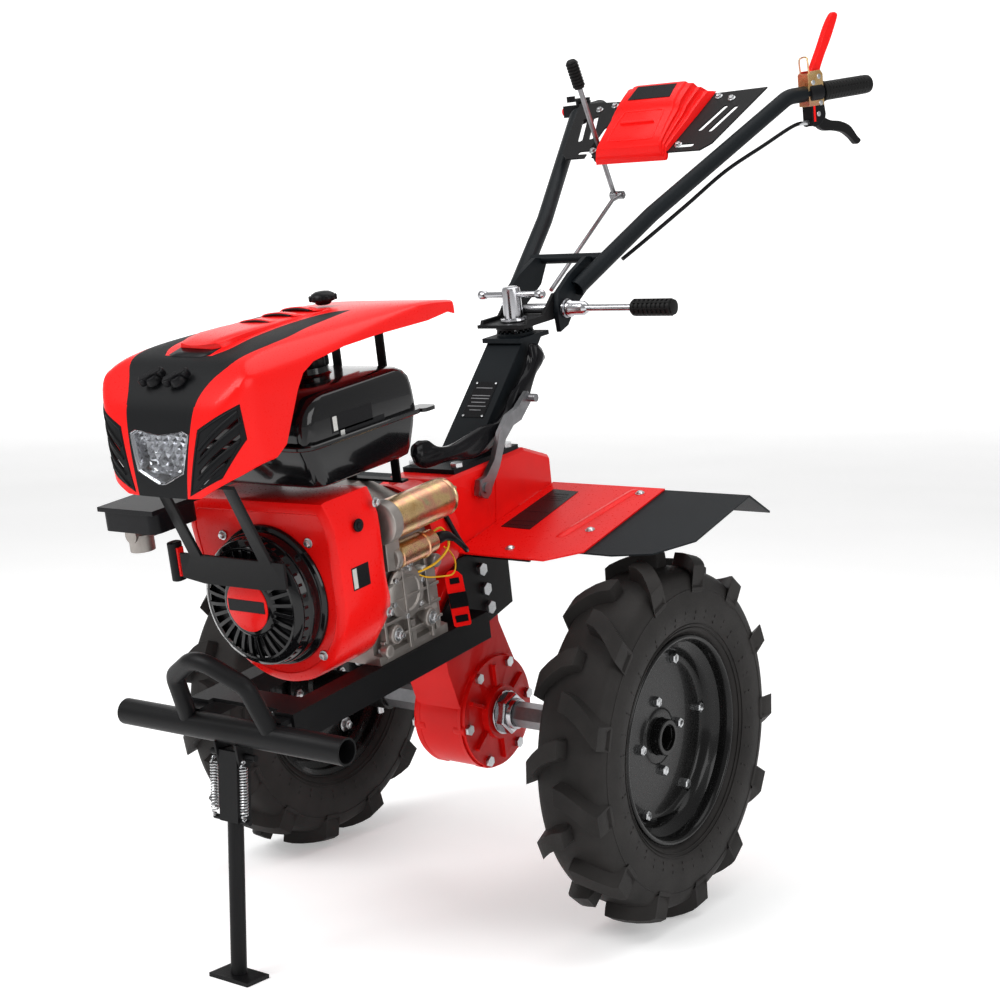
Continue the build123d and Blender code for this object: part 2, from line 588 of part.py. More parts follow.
# crankshaft with its webs, the flywheel with fan blades in front and the clutch bell behind
with BuildPart() as crankshaft:
    rod((0, -470, CRANK_Z), (0, CASE_REAR + 34, CRANK_Z), 15)
    for y in (-290, -232):
        rod((0, y, CRANK_Z), (0, y + 22, CRANK_Z), 52)
    rod((0, CASE_REAR + 5, CRANK_Z), (0, CASE_REAR + 34, CRANK_Z), 50)
    rod((0, -400, CRANK_Z), (0, -360, CRANK_Z), 88)
    rod((0, -388, CRANK_Z), (0, -360, CRANK_Z), 78, Mode.SUBTRACT)
    rod((0, -390, CRANK_Z), (0, -360, CRANK_Z), 32)
    for k in range(16):
        turn = radians(k * 22.5)
        outward = Vector(cos(turn), 0, sin(turn))
        block(Plane(Vector(0, -399, CRANK_Z) + outward * 62, x_dir=outward, z_dir=(0, -1, 0)), 40, 3, 26)
save(crankshaft, "crankshaft")

STARTER_X, STARTER_Z = 118.0, 428.0
with BuildPart() as starter_motor:
    rod((STARTER_X, -322, STARTER_Z), (STARTER_X, -300, STARTER_Z), 34)
    rod((STARTER_X, -300, STARTER_Z), (STARTER_X, -160, STARTER_Z), 31)
    rod((STARTER_X, -160, STARTER_Z), (STARTER_X, -152, STARTER_Z), 26)
    rod((STARTER_X, -152, STARTER_Z), (STARTER_X, -144, STARTER_Z), 8)
    slab(side_plane(88.2), [(-316, 350), (-282, 350), (-282, STARTER_Z), (-316, STARTER_Z)], 38)
    rod((112, -286, 366), (112, -196, 366), 20)
    rod((112, -196, 366), (112, -182, 366), 14)
    for dx in (-8, 8):
        rod((112 + dx, -184, 366), (112 + dx, -174, 366), 4)
save(starter_motor, "starter_motor")

with BuildPart() as muffler:
    block(Plane((-246, -262, 440)), 76, 150, 84)
    fillet(muffler.edges().filter_by(Axis.Y), 20)
    rod((-246, -190, 478), (-246, -168, 478), 14)
    block(Plane((-246, -262, 444)), 68, 142, 76, Mode.SUBTRACT)
    rod((-246, -200, 478), (-246, -166, 478), 11, Mode.SUBTRACT)
save(muffler, "muffler")

with BuildPart() as air_cleaner:
    block(Plane((-156, -514, 463)), 112, 92, 30)
    fillet(air_cleaner.edges().filter_by(Axis.Z), 14)
    block(Plane((-156, -514, 493)), 118, 98, 7)
save(air_cleaner, "air_cleaner")

with BuildPart() as carburettor:
    rod((-178, -540, 451), (-178, -445, 451), 12)
    rod((-178, -520, 424), (-178, -520, 450), 19)
save(carburettor, "carburettor")

# ---------------------------------------------------------------- fuel tank
TANK_SEAM = 575.0
tank_side = [(-456, TANK_SEAM), (-456, 618), (-430, 646), (-226, 650), (-196, 634), (-192, TANK_SEAM)]
TANK_X, TANK_Y = -14.0, -324.0
with BuildPart() as fuel_tank:
    with BuildSketch(side_plane(TANK_X - 136)) as outline:
        with BuildLine():
            Polyline(*tank_side, close=True)
        make_face()
        fillet(outline.vertices().sort_by(Axis.Y)[2:-2], 10)
    extrude(outline.sketch, amount=272)
    with BuildSketch(Plane.XY.offset(TANK_SEAM)) as wide:
        with Locations((TANK_X, TANK_Y)):
            RectangleRounded(272, 262, 20)
    with BuildSketch(Plane.XY.offset(508)) as narrow:
        with Locations((TANK_X, TANK_Y + 6)):
            RectangleRounded(258, 228, 24)
    loft([wide.sketch, narrow.sketch])
    with BuildSketch(Plane.XY.offset(TANK_SEAM - 3)) as seam:
        with Locations((TANK_X, TANK_Y)):
            RectangleRounded(286, 278, 24)
    extrude(seam.sketch, amount=6)
    rod((0, -300, 640), (0, -300, 662), 30)
    block(Plane((TANK_X, TANK_Y + 6, 512)), 246, 216, 104, Mode.SUBTRACT)
    slab(side_plane(TANK_X - 131), [
        (-450, TANK_SEAM), (-450, 615), (-428, 641), (-228, 645), (-201, 630), (-198, TANK_SEAM),
    ], 262, Mode.SUBTRACT)
    rod((0, -300, 630), (0, -300, 664), 24, Mode.SUBTRACT)
save(fuel_tank, "fuel_tank")

with BuildPart() as fuel_cap:
    drum(Plane((0, -300, 662 + GAP)), 34, 16)
    for turn in range(0, 360, 60):
        x, y = 34 * cos(radians(turn)), 34 * sin(radians(turn))
        rod((x, y - 300, 662 + GAP), (x, y - 300, 678 + GAP), 7)
    drum(Plane((0, -300, 646)), 24 - GAP, 17)
save(fuel_cap, "fuel_cap")

# ---------------------------------------------------------------- hood
HOOD_T = 4.0
hood_top = [
    (-626, 520), (-626, 560), (-613, 628), (-608, 664), (-584, 697), (-556, 722), (-480, 739),
    (-245, 746), (-60, 724),
]
hood_low = [
    (-60, 712), (-142, 704), (-274, 709), (-365, 707), (-453, 697), (-478, 684), (-520, 600), (-604, 560),
]
hood_plan = [(52, -628), (97, -619), (136, -586), (150, -556), (150, -470), (136, -300), (108, -60)]
hood_front = [(60, 748), (118, 730), (150, 696), (152, 590), (62, 544), (46, 516)]


def mirrored(points):
    """A closed outline from its +X half."""
    return list(points) + [(-x, y) for x, y in reversed(points)]


def hood_body():
    """The hood's outer volume: its side, plan and front outlines crossed."""
    slab(side_plane(-160), hood_top + hood_low, 320)
    slab(Plane.XY.offset(480), mirrored(hood_plan), 300, Mode.INTERSECT)
    slab(front_plane(0), mirrored(hood_front), 700, Mode.INTERSECT)


with BuildPart() as hood_void:
    inner_top = [(y + HOOD_T, z - HOOD_T) for y, z in hood_top]
    inner_plan = [(x - HOOD_T, y + 2) for x, y in hood_plan] + [(104, 20)]
    slab(side_plane(-170), inner_top + [(10, 720), (10, 400), (-622, 400)], 340)
    slab(Plane.XY.offset(390), mirrored(inner_plan), 400, Mode.INTERSECT)
    slab(front_plane(30), mirrored([(58, 744), (115, 726), (146, 693), (148, 380)]), 700, Mode.INTERSECT)
with BuildPart() as hood_skin:
    hood_body()
    add(hood_void.part, mode=Mode.SUBTRACT)
PANEL_X = 52.0
with BuildPart() as panel_zone:
    slab(front_plane(-556), mirrored([
        (PANEL_X + 14, 760), (PANEL_X + 14, 660), (PANEL_X, 560), (PANEL_X - 10, 480),
    ]), 90)
KNOBS = ((24.0, -582.0, 698.0), (-24.0, -582.0, 698.0))
knob_axis = Vector(0, -0.62, 0.785).normalized()
lens_outline = mirrored([(49, 627), (38, 575), (16, 562)])
with BuildPart() as hood_panel:
    add(hood_skin.part)
    add(panel_zone.part, mode=Mode.INTERSECT)
    slab(front_plane(-560), lens_outline, 90, Mode.SUBTRACT)
    for centre in KNOBS:
        seat = Vector(*centre) - knob_axis * 16
        rod(tuple(seat), tuple(seat + knob_axis * 30), 5 + RUN, Mode.SUBTRACT)
save(hood_panel, "hood_panel")

grille_zone = [(62, 548), (66, 640), (128, 668), (130, 602), (100, 566)]
with BuildPart() as hood_shell:
    add(hood_skin.part)
    add(panel_zone.part, mode=Mode.SUBTRACT)
    for sign in (1, -1):
        slab(front_plane(-540), [(sign * x, z) for x, z in grille_zone], 110, Mode.SUBTRACT)
    drum(Plane((0, -245, 700)), 5 + RUN, 60, Mode.SUBTRACT)
save(hood_shell, "hood_shell")

with BuildPart() as side_grilles:
    for sign in (1, -1):
        slab(front_plane(-540), [(sign * x, z) for x, z in grille_zone], 110)
    add(hood_skin.part, mode=Mode.INTERSECT)
save(side_grilles, "side_grilles")

with BuildPart() as headlight_lens:
    slab(front_plane(-560), lens_outline, 90)
    add(hood_skin.part, mode=Mode.INTERSECT)
save(headlight_lens, "headlight_lens")

with BuildPart() as headlight_reflector:
    with BuildSketch(front_plane(-570)) as back:
        with Locations((0, 598)):
            Rectangle(60, 40)
    with BuildSketch(front_plane(-604)) as front:
        with Locations((0, 596)):
            Rectangle(88, 56)
    loft([back.sketch, front.sketch])
    rod((0, -574, 597), (0, -610, 597), 14, Mode.SUBTRACT)
save(headlight_reflector, "headlight_reflector")

for side, centre in zip(("left", "right"), KNOBS):
    with BuildPart() as knob:
        base = Vector(*centre) + knob_axis * 4
        drum(Plane(base, z_dir=knob_axis), 13, 6)
        wing = Plane(base + knob_axis * 5.5, x_dir=(1, 0, 0), z_dir=knob_axis)
        with BuildSketch(wing) as bar:
            SlotOverall(24, 7)
        extrude(bar.sketch, amount=8)
        rod(tuple(base - knob_axis * 18), tuple(base + knob_axis * 2), 5)
    save(knob, f"hood_knob_{side}")

with BuildPart() as top_knob:
    rod((0, -245, 704), (0, -245, 750), 5)
    drum(Plane((0, -245, 748)), 12, 8)
    drum(Plane((0, -245, 756)), 20, 9)
    fillet(top_knob.edges().filter_by(GeomType.CIRCLE).sort_by(Axis.Z)[-1], 4)
save(top_knob, "top_knob")

with BuildPart() as hood_brackets:
    slab(front_plane(-512), mirrored([(104, 424), (104, 386), (60, 380)]), 5)
    for x in (-70, 70):
        slab(side_plane(x - 11), [
            (-517, 420), (-568, 544), (-596, 552), (-594, 556), (-565, 548), (-512, 422),
        ], 22)
    for x in (-46, 46):
        slab(side_plane(x - 8), [(-182, 456), (-182, 734), (-178, 734), (-178, 456)], 16)
    slab(Plane.XY.offset(452), mirrored([(58, -182), (58, -166)]), 4)
save(hood_brackets, "hood_brackets")

# ---------------------------------------------------------------- fenders
with BuildPart() as fender_plates:
    slab(side_plane(62), fender_cut(-81, 222, 0), 228)
    slab(Plane.XY.offset(250), [
        (62, -90), (240, -81), (290, -38), (290, 230), (62, 230),
    ], 150, Mode.INTERSECT)
    slab(side_plane(62), [
        (222, fender_z(222)), (272, fender_z(222) - 34), (271, fender_z(222) - 37), (219, fender_z(222) - 3),
    ], 199.8)
    both_sides(fender_plates)
save(fender_plates, "fender_plates")

with BuildPart() as fender_extensions:
    slab(side_plane(262), fender_cut(-38, 222, PLATE_T + 0.1), 188)
    slab(Plane.XY.offset(250), [
        (262, -60), (405, -20), (450, 38), (450, 230), (262, 230),
    ], 150, Mode.INTERSECT)
    drop = PLATE_T + 0.1
    slab(side_plane(262), [
        (222, fender_z(222, drop)), (288, fender_z(222, drop) - 45),
        (287, fender_z(222, drop) - 48), (219, fender_z(222, drop) - 3),
    ], 188)
    both_sides(fender_extensions)
save(fender_extensions, "fender_extensions")

# ---------------------------------------------------------------- steering column
# toothed lower ring on the column, toothed upper ring on the yoke
TEETH, TOOTH_H, RING_R = 20, 3.0, 33.0
RING_LOW = 610.0


def tooth_ring(z, height, start, up):
    """A flat ring with radial teeth on one face."""
    drum(Plane((0, SWIVEL_Y, z)), RING_R, height)
    for k in range(TEETH):
        turn = radians(start + k * 360 / TEETH)
        tooth = Plane(
            (26 * cos(turn), SWIVEL_Y + 26 * sin(turn), z + (height if up else 0)),
            x_dir=(cos(turn), sin(turn), 0), z_dir=(0, 0, 1 if up else -1),
        )
        block(tooth, 12, 3.4, TOOTH_H)


COL_X = 36.5
with BuildPart() as steering_column:
    slab(side_plane(-COL_X), [(30, 438), (212, 606), (272, 606), (110, 438)], 2 * COL_X)
    slab(side_plane(-COL_X + 5), [
        (46, 446), (215, 602), (280, 602), (126, 446),
    ], 2 * COL_X - 10, Mode.SUBTRACT)
    slab(side_plane(-54), [(-44, 438), (-44, 430), (140, 430), (140, 438)], 108)
    block(Plane((0, SWIVEL_Y, 602)), 82, 88, 8)
    tooth_ring(RING_LOW, 5, 0, True)
    drum(Plane((0, SWIVEL_Y, 590)), 12 + RUN, 40, Mode.SUBTRACT)
    add(frame_bolts.part, mode=Mode.SUBTRACT)
save(steering_column, "steering_column")
save(frame_bolts, "frame_bolts")


YOKE_Z = RING_LOW + 5 + 2 * TOOTH_H + GAP  # upper ring, its teeth just clear of the lower ones
with BuildPart() as yoke:
    tooth_ring(YOKE_Z, 6, 180 / TEETH, False)
    slab(side_plane(-50), [(200, YOKE_Z + 6), (340, YOKE_Z + 6), (340, YOKE_Z + 12), (200, YOKE_Z + 12)], 100)
    for hand in (1, -1):
        side = min(hand * 44, hand * 50)
        slab(side_plane(side), [
            (206, YOKE_Z + 6), (344, YOKE_Z + 6), (348, 650), (330, 672), (300, 672), (262, 640), (212, 640),
        ], 6)
    drum(Plane((0, SWIVEL_Y, 560)), 12 + RUN, 100, Mode.SUBTRACT)
    rod((-60, PIVOT_Y, PIVOT_Z), (60, PIVOT_Y, PIVOT_Z), 9 + RUN, Mode.SUBTRACT)
save(yoke, "yoke")

# swivel bolt with a T-handled nut on top
NUT_LOW, NUT_TOP = YOKE_Z + 12 + GAP, 694.0
with BuildPart() as swivel_nut:
    rod((0, SWIVEL_Y, 592), (0, SWIVEL_Y, NUT_LOW), 12)
    drum(Plane((0, SWIVEL_Y, 586)), 19, 8)
    drum(Plane((0, SWIVEL_Y, NUT_LOW)), 15, NUT_TOP - NUT_LOW)
    rod((-62, SWIVEL_Y, 680), (62, SWIVEL_Y, 680), 5.5)
    for x in (-66, 58):
        rod((x, SWIVEL_Y, 680), (x + 8, SWIVEL_Y, 680), 8)
save(swivel_nut, "swivel_nut")

# clamp handle on the pivot bolt, in line with the pivot
with BuildPart() as clamp_handle:
    rod((-64, PIVOT_Y, PIVOT_Z), (62, PIVOT_Y, PIVOT_Z), 9)
    rod((62, PIVOT_Y, PIVOT_Z), (66, PIVOT_Y, PIVOT_Z), 17)
    rod((66, PIVOT_Y, PIVOT_Z), (106, PIVOT_Y, PIVOT_Z), 13)
    rod((106, PIVOT_Y, PIVOT_Z), (206, PIVOT_Y, PIVOT_Z), 6)
    rod((-72, PIVOT_Y, PIVOT_Z), (-62, PIVOT_Y, PIVOT_Z), 15)
    rod((200, PIVOT_Y, PIVOT_Z), (284, PIVOT_Y, PIVOT_Z), 13)
    for k in range(6):
        x = 206 + 13 * k
        rod((x, PIVOT_Y, PIVOT_Z), (x + 7, PIVOT_Y, PIVOT_Z), 15)
save(clamp_handle, "clamp_handle")

# ---------------------------------------------------------------- handlebars
TUBE_LOW, TUBE_MID = (66, 350, 672), (118, 540, 776)
TUBE_WALL = 2.5
GRIP_PLAN = 19.0  # degrees the grips splay outwards
grip_dir = Vector(sin(radians(GRIP_PLAN)), cos(radians(GRIP_PLAN)), 0.02).normalized()
across = Vector(cos(radians(GRIP_PLAN)), -sin(radians(GRIP_PLAN)), 0)
CLAMP = Vector(262, 935, 953)  # middle of the lever clamp, on the tube
GRIP_START, GRIP_END = 24.0, 160.0
tube_end = CLAMP + grip_dir * (GRIP_END - 6)
bend = CLAMP - grip_dir * 62
with BuildPart() as handlebars:
    bent_bar([TUBE_LOW, TUBE_MID, tuple(bend), tuple(tube_end)], [300, 60], TUBE_R)
    bent_bar([TUBE_LOW, TUBE_MID, tuple(bend), tuple(tube_end)], [300, 60], TUBE_R - TUBE_WALL, Mode.SUBTRACT)
    slab(side_plane(51), [
        (296, 604), (322, 612), (350, 640), (410, 672), (440, 716), (400, 722), (345, 700), (300, 674),
        (292, 640),
    ], 9)
    rod((40, PIVOT_Y, PIVOT_Z), (80, PIVOT_Y, PIVOT_Z), 9 + RUN, Mode.SUBTRACT)
    both_sides(handlebars)
    rod((-76, 425, 716), (76, 425, 716), 9)
save(handlebars, "handlebars")

with BuildPart() as hand_grips:
    rod(tuple(CLAMP + grip_dir * GRIP_START), tuple(CLAMP + grip_dir * GRIP_END), 18)
    rod(tuple(CLAMP + grip_dir * 10), tuple(tube_end), TUBE_R + RUN, Mode.SUBTRACT)
    both_sides(hand_grips)
save(hand_grips, "hand_grips")


def lever_plane(offset):
    """Upright plane along the left grip: x towards its end, y up, from the lever clamp."""
    return Plane(CLAMP + across * offset, x_dir=grip_dir, z_dir=across)


LEVER_PIVOT = (2, -40)
SAFETY_PIVOT = (8, 30)
with BuildPart() as lever_clamp:
    rod(tuple(CLAMP - grip_dir * 16), tuple(CLAMP + grip_dir * 18), TUBE_R + 5)
    slab(lever_plane(-13), [(-14, -14), (-14, -62), (8, -62), (24, -50), (22, -14)], 26)
    slab(lever_plane(-13), [(-16, 12), (-16, 40), (16, 40), (18, 12)], 26)
    slab(lever_plane(-9), [(-4, -18), (-4, -80), (60, -80), (60, -26), (30, -26)], 18, Mode.SUBTRACT)
    slab(lever_plane(-9), [(-8, 20), (-8, 60), (40, 60), (40, 20)], 18, Mode.SUBTRACT)
    rod(tuple(CLAMP - grip_dir * 40), tuple(CLAMP + grip_dir * 40), TUBE_R + RUN, Mode.SUBTRACT)
    for s, h in (LEVER_PIVOT, SAFETY_PIVOT):
        pivot = CLAMP + grip_dir * s + Vector(0, 0, h)
        rod(tuple(pivot - across * 14), tuple(pivot + across * 14), 4)
save(lever_clamp, "lever_clamp")

with BuildPart() as clutch_lever:
    slab(lever_plane(-6), [
        (-2, -34), (14, -32), (34, -54), (70, -62), (100, -76), (118, -98), (124, -108), (112, -112),
        (92, -98), (60, -84), (24, -76), (2, -56),
    ], 12)
    pivot = CLAMP + grip_dir * LEVER_PIVOT[0] + Vector(0, 0, LEVER_PIVOT[1])
    rod(tuple(pivot - across * 14), tuple(pivot + across * 14), 4 + RUN, Mode.SUBTRACT)
save(clutch_lever, "clutch_lever")

with BuildPart() as safety_lever:
    slab(lever_plane(-7), [
        (-2, 26), (16, 26), (28, 52), (56, 96), (80, 136), (76, 144), (66, 144), (34, 96), (4, 52), (0, 40),
    ], 14)
    pivot = CLAMP + grip_dir * SAFETY_PIVOT[0] + Vector(0, 0, SAFETY_PIVOT[1])
    rod(tuple(pivot - across * 14), tuple(pivot + across * 14), 4 + RUN, Mode.SUBTRACT)
save(safety_lever, "safety_lever")

with BuildPart() as control_cable:
    start = CLAMP - grip_dir * 14.2 + Vector(0, 0, -54)
    bent_bar([
        tuple(start), tuple(start - grip_dir * 34), (218, 812, 872), (182, 716, 840), (146, 620, 786),
        (112, 530, 737),
        (92, 470, 706),
    ], [60, 150, 400, 400, 300], 4)
save(control_cable, "control_cable")

# ---------------------------------------------------------------- dash
DASH_SLOPE = 30.3
dash_s = Vector(0, cos(radians(DASH_SLOPE)), sin(radians(DASH_SLOPE)))
dash_n = Vector(0, -sin(radians(DASH_SLOPE)), cos(radians(DASH_SLOPE)))
DASH0 = Vector(0, 680, 874)


def dash_plane(height=0.0):
    """Plane of the dash plates: x across, y up the slope, normal out of the plate."""
    return Plane(DASH0 + dash_n * height, x_dir=(1, 0, 0), z_dir=dash_n)


def dash_point(x, s, h):
    return Vector(x, 0, 0) + DASH0 + dash_s * s + dash_n * h


LEVER_X, LEVER_S = -99.0, 50.0
lever_top = Vector(LEVER_X, 655, 1060)
lever_low = Vector(LEVER_X, 766, 794)
lever_line = (lever_top - lever_low).normalized()
SHIFT_PIVOT = lever_low + lever_line * 92
# height of the plate over the shift pivot
EAR_TOP = (dash_point(0, 0, 0) - SHIFT_PIVOT).dot(dash_n) + 1
with BuildPart() as dash_plates:
    for hand in (1, -1):
        slab(dash_plane(), [
            (hand * 52, 2), (hand * 150, 2), (hand * 168, 22), (hand * 214, 196), (hand * 60, 188),
        ], 3)
    for hand in (1, -1):
        for x0, s0, x1, s1 in ((120, 60, 150, 150), (146, 60, 172, 140)):
            mid = dash_point(hand * (x0 + x1) / 2, (s0 + s1) / 2, -1)
            lean = degrees(atan2(s1 - s0, hand * (x1 - x0)))
            direction = Vector(cos(radians(lean)), 0, 0) + dash_s * sin(radians(lean))
            with BuildSketch(Plane(mid, x_dir=direction, z_dir=dash_n)) as slot:
                SlotOverall(84, 10)
            extrude(slot.sketch, amount=6, mode=Mode.SUBTRACT)
        with BuildSketch(Plane(dash_point(hand * 110, 20, -1), x_dir=(1, 0, 0), z_dir=dash_n)) as slot:
            SlotOverall(40, 11)
        extrude(slot.sketch, amount=6, mode=Mode.SUBTRACT)
    with BuildSketch(Plane(dash_point(LEVER_X, LEVER_S, -1), x_dir=dash_s, z_dir=dash_n)) as slot:
        SlotOverall(110, 17)
    extrude(slot.sketch, amount=6, mode=Mode.SUBTRACT)
    # ears and pin that carry the shift lever
    for dx in (-13, 9):
        with BuildSketch(Plane(SHIFT_PIVOT + Vector(dx, 0, 0), x_dir=dash_s, z_dir=(1, 0, 0))) as ear:
            with BuildLine():
                Polyline((-12, -9), (12, -9), (13, EAR_TOP), (-13, EAR_TOP), close=True)
            make_face()
        extrude(ear.sketch, amount=4)
    rod(tuple(SHIFT_PIVOT - Vector(13, 0, 0)), tuple(SHIFT_PIVOT + Vector(13, 0, 0)), 4)
save(dash_plates, "dash_plates")

cover_side = [
    (-6, -8), (-8, 8), (2, 24), (60, 34), (104, 36), (118, 46), (176, 46),
    (197, 8), (197, 3.2), (2, 3.2), (2, -8),
]
with BuildPart() as dash_space:
    with BuildSketch(Plane(DASH0 - Vector(120, 0, 0), x_dir=dash_s, z_dir=(1, 0, 0))) as hollow:
        with BuildLine():
            Polyline(
                (3, 3), (6, 20), (62, 31), (102, 33), (116, 43), (174, 43), (192, 8), (192, 3), close=True,
            )
        make_face()
    extrude(hollow.sketch, amount=240)
    slab(dash_plane(-20), mirrored([(76, -12), (76, 10), (102, 200)]), 100, Mode.INTERSECT)
with BuildPart() as dash_cover:
    with BuildSketch(Plane(DASH0 - Vector(120, 0, 0), x_dir=dash_s, z_dir=(1, 0, 0))) as side:
        with BuildLine():
            Polyline(*cover_side, close=True)
        make_face()
    extrude(side.sketch, amount=240)
    slab(dash_plane(-20), mirrored([(80, -12), (80, 10), (107, 200)]), 100, Mode.INTERSECT)
    add(dash_space.part, mode=Mode.SUBTRACT)
save(dash_cover, "dash_cover")

# shift lever: hangs on a pin under the right dash plate
with BuildPart() as shift_lever:
    rod(tuple(lever_low), tuple(lever_top), 5)
    rod(tuple(SHIFT_PIVOT - Vector(8, 0, 0)), tuple(SHIFT_PIVOT + Vector(8, 0, 0)), 9)
    rod(tuple(lever_low + Vector(-7, 0, 0)), tuple(lever_low + Vector(7, 0, 0)), 8)
    rod(tuple(lever_low), tuple(lever_low + Vector(24, 0, 0)), 4)
    rod(tuple(SHIFT_PIVOT - Vector(12, 0, 0)), tuple(SHIFT_PIVOT + Vector(12, 0, 0)), 4 + RUN, Mode.SUBTRACT)
    rod(tuple(lever_top - lever_line * 52), tuple(lever_top + lever_line * 4), 11)
    for k in range(7):
        start = lever_top - lever_line * (50 - 7.5 * k)
        rod(tuple(start), tuple(start + lever_line * 4), 12.5)
save(shift_lever, "shift_lever")


ROD_LOW = Vector(-26, 404, 662)
rod_eye = lever_low + Vector(16, 0, 0)
with BuildPart() as shift_rod:
    rod(tuple(rod_eye - Vector(5, 0, 0)), tuple(rod_eye + Vector(5, 0, 0)), 8)
    bent_bar([
        tuple(rod_eye + Vector(0, -2, -1)), tuple(rod_eye + Vector(0, -34, -6)), tuple(ROD_LOW),
    ], [12], 4)
    rod(tuple(rod_eye - Vector(7, 0, 0)), tuple(rod_eye + Vector(7, 0, 0)), 4 + RUN, Mode.SUBTRACT)
save(shift_rod, "shift_rod")

# stop switch and throttle on the right handle
right_dir = Vector(-grip_dir.X, grip_dir.Y, grip_dir.Z)
right_clamp = Vector(-CLAMP.X, CLAMP.Y, CLAMP.Z)
SWITCH = right_clamp - right_dir * 30
THROTTLE = right_clamp + right_dir * 2
with BuildPart() as right_clamps:
    rod(tuple(SWITCH - right_dir * 12), tuple(SWITCH + right_dir * 14), TUBE_R + 6)
    block(Plane(SWITCH + Vector(0, 0, 8), z_dir=(-1, 0, 0)), 24, 26, 34)
    rod(tuple(SWITCH - right_dir * 30), tuple(SWITCH + right_dir * 30), TUBE_R + RUN, Mode.SUBTRACT)
    rod(tuple(SWITCH + Vector(-26, 0, 8)), tuple(SWITCH + Vector(-40, 0, 8)), 9, Mode.SUBTRACT)
    rod(tuple(THROTTLE - right_dir * 10), tuple(THROTTLE + right_dir * 12), TUBE_R + 5)
    rod(tuple(THROTTLE + Vector(0, 0, 16)), tuple(THROTTLE + Vector(0, 0, 26)), 16)
    rod(tuple(THROTTLE - right_dir * 30), tuple(THROTTLE + right_dir * 20), TUBE_R + RUN, Mode.SUBTRACT)
save(right_clamps, "right_clamps")

with BuildPart() as stop_button:
    rod(tuple(SWITCH + Vector(-30.5, 0, 8)), tuple(SWITCH + Vector(-41, 0, 8)), 9 - GAP)
save(stop_button, "stop_button")


with BuildPart() as throttle_lever:
    drum(Plane(THROTTLE + Vector(0, 0, 26 + GAP)), 15, 6)
    slab(Plane(THROTTLE + Vector(0, 0, 26 + GAP)), [(-6, 0), (6, 0), (10, -52), (-2, -54)], 6)
    drum(Plane(THROTTLE + Vector(4, -52, 26 + GAP)), 9, 12)
save(throttle_lever, "throttle_lever")

# ---------------------------------------------------------------- clutch release
ARM_X = 66.0
with BuildPart() as release_arm:
    slab(side_plane(ARM_X), [
        (-14, 388), (10, 376), (26, 392), (52, 420), (78, 462), (104, 480), (128, 484), (166, 512),
        (156, 528), (120, 506), (92, 500), (64, 476), (40, 436), (14, 414), (-6, 412),
    ], 10)
    drum(Plane((ARM_X, 6, 396), z_dir=(1, 0, 0)), 17, 12)
    rod((40, 6, 396), (ARM_X + 16, 6, 396), 9)
    rod((ARM_X - 2, 158, 516), (ARM_X + 24, 158, 516), 7)
save(release_arm, "release_arm")

with BuildPart() as cable_sleeve:
    bent_bar([
        (30, -112, 486), (48, -66, 468), (49, 20, 464), (49, 106, 478), (49, 170, 520), (49, 212, 564),
        (49, 236, 588),
    ], [40, 60, 90, 90, 120], 12)
save(cable_sleeve, "cable_sleeve")
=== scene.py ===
"""Looks of the two-wheel tiller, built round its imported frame.

Pieces are drawn level, in millimetres, in the machine's own frame: the origin is the middle
of the axle, +X is the machine's left, -Y is forward and +Z is up. Shape.make() leans each
piece as the machine stands and moves it to the row frame, in metres.
"""
import json
from math import cos, pi, radians, sin, sqrt, tan

import bmesh
import bpy
import numpy as np
from mathutils import Matrix, Vector

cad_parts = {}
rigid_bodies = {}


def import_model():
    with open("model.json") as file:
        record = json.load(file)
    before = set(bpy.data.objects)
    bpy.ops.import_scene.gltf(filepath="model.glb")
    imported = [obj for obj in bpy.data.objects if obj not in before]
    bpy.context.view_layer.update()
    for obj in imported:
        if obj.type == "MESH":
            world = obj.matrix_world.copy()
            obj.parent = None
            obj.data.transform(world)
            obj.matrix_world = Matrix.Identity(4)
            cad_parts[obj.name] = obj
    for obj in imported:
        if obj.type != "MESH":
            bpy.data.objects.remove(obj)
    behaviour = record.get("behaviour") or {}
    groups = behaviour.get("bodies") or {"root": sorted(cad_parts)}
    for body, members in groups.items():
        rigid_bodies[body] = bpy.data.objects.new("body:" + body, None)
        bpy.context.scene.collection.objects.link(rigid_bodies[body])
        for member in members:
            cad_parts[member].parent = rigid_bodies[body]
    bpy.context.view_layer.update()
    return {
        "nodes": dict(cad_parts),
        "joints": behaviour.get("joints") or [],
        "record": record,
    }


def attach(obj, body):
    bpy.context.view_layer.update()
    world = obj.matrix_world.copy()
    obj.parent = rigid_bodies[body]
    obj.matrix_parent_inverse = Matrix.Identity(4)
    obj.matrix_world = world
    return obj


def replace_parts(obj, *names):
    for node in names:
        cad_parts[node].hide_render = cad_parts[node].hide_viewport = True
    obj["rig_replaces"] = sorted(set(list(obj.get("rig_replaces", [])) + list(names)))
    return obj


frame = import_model()

MM = 0.001
LEAN = 10.0
joints = {j["name"]: j for j in frame["joints"]}
AXLE = Vector(joints["wheel_spin"]["pos_m"])
STANCE = Matrix.Translation(AXLE) @ Matrix.Rotation(radians(LEAN), 4, "X") @ Matrix.Scale(MM, 4)
WHEEL_R = AXLE.z / MM


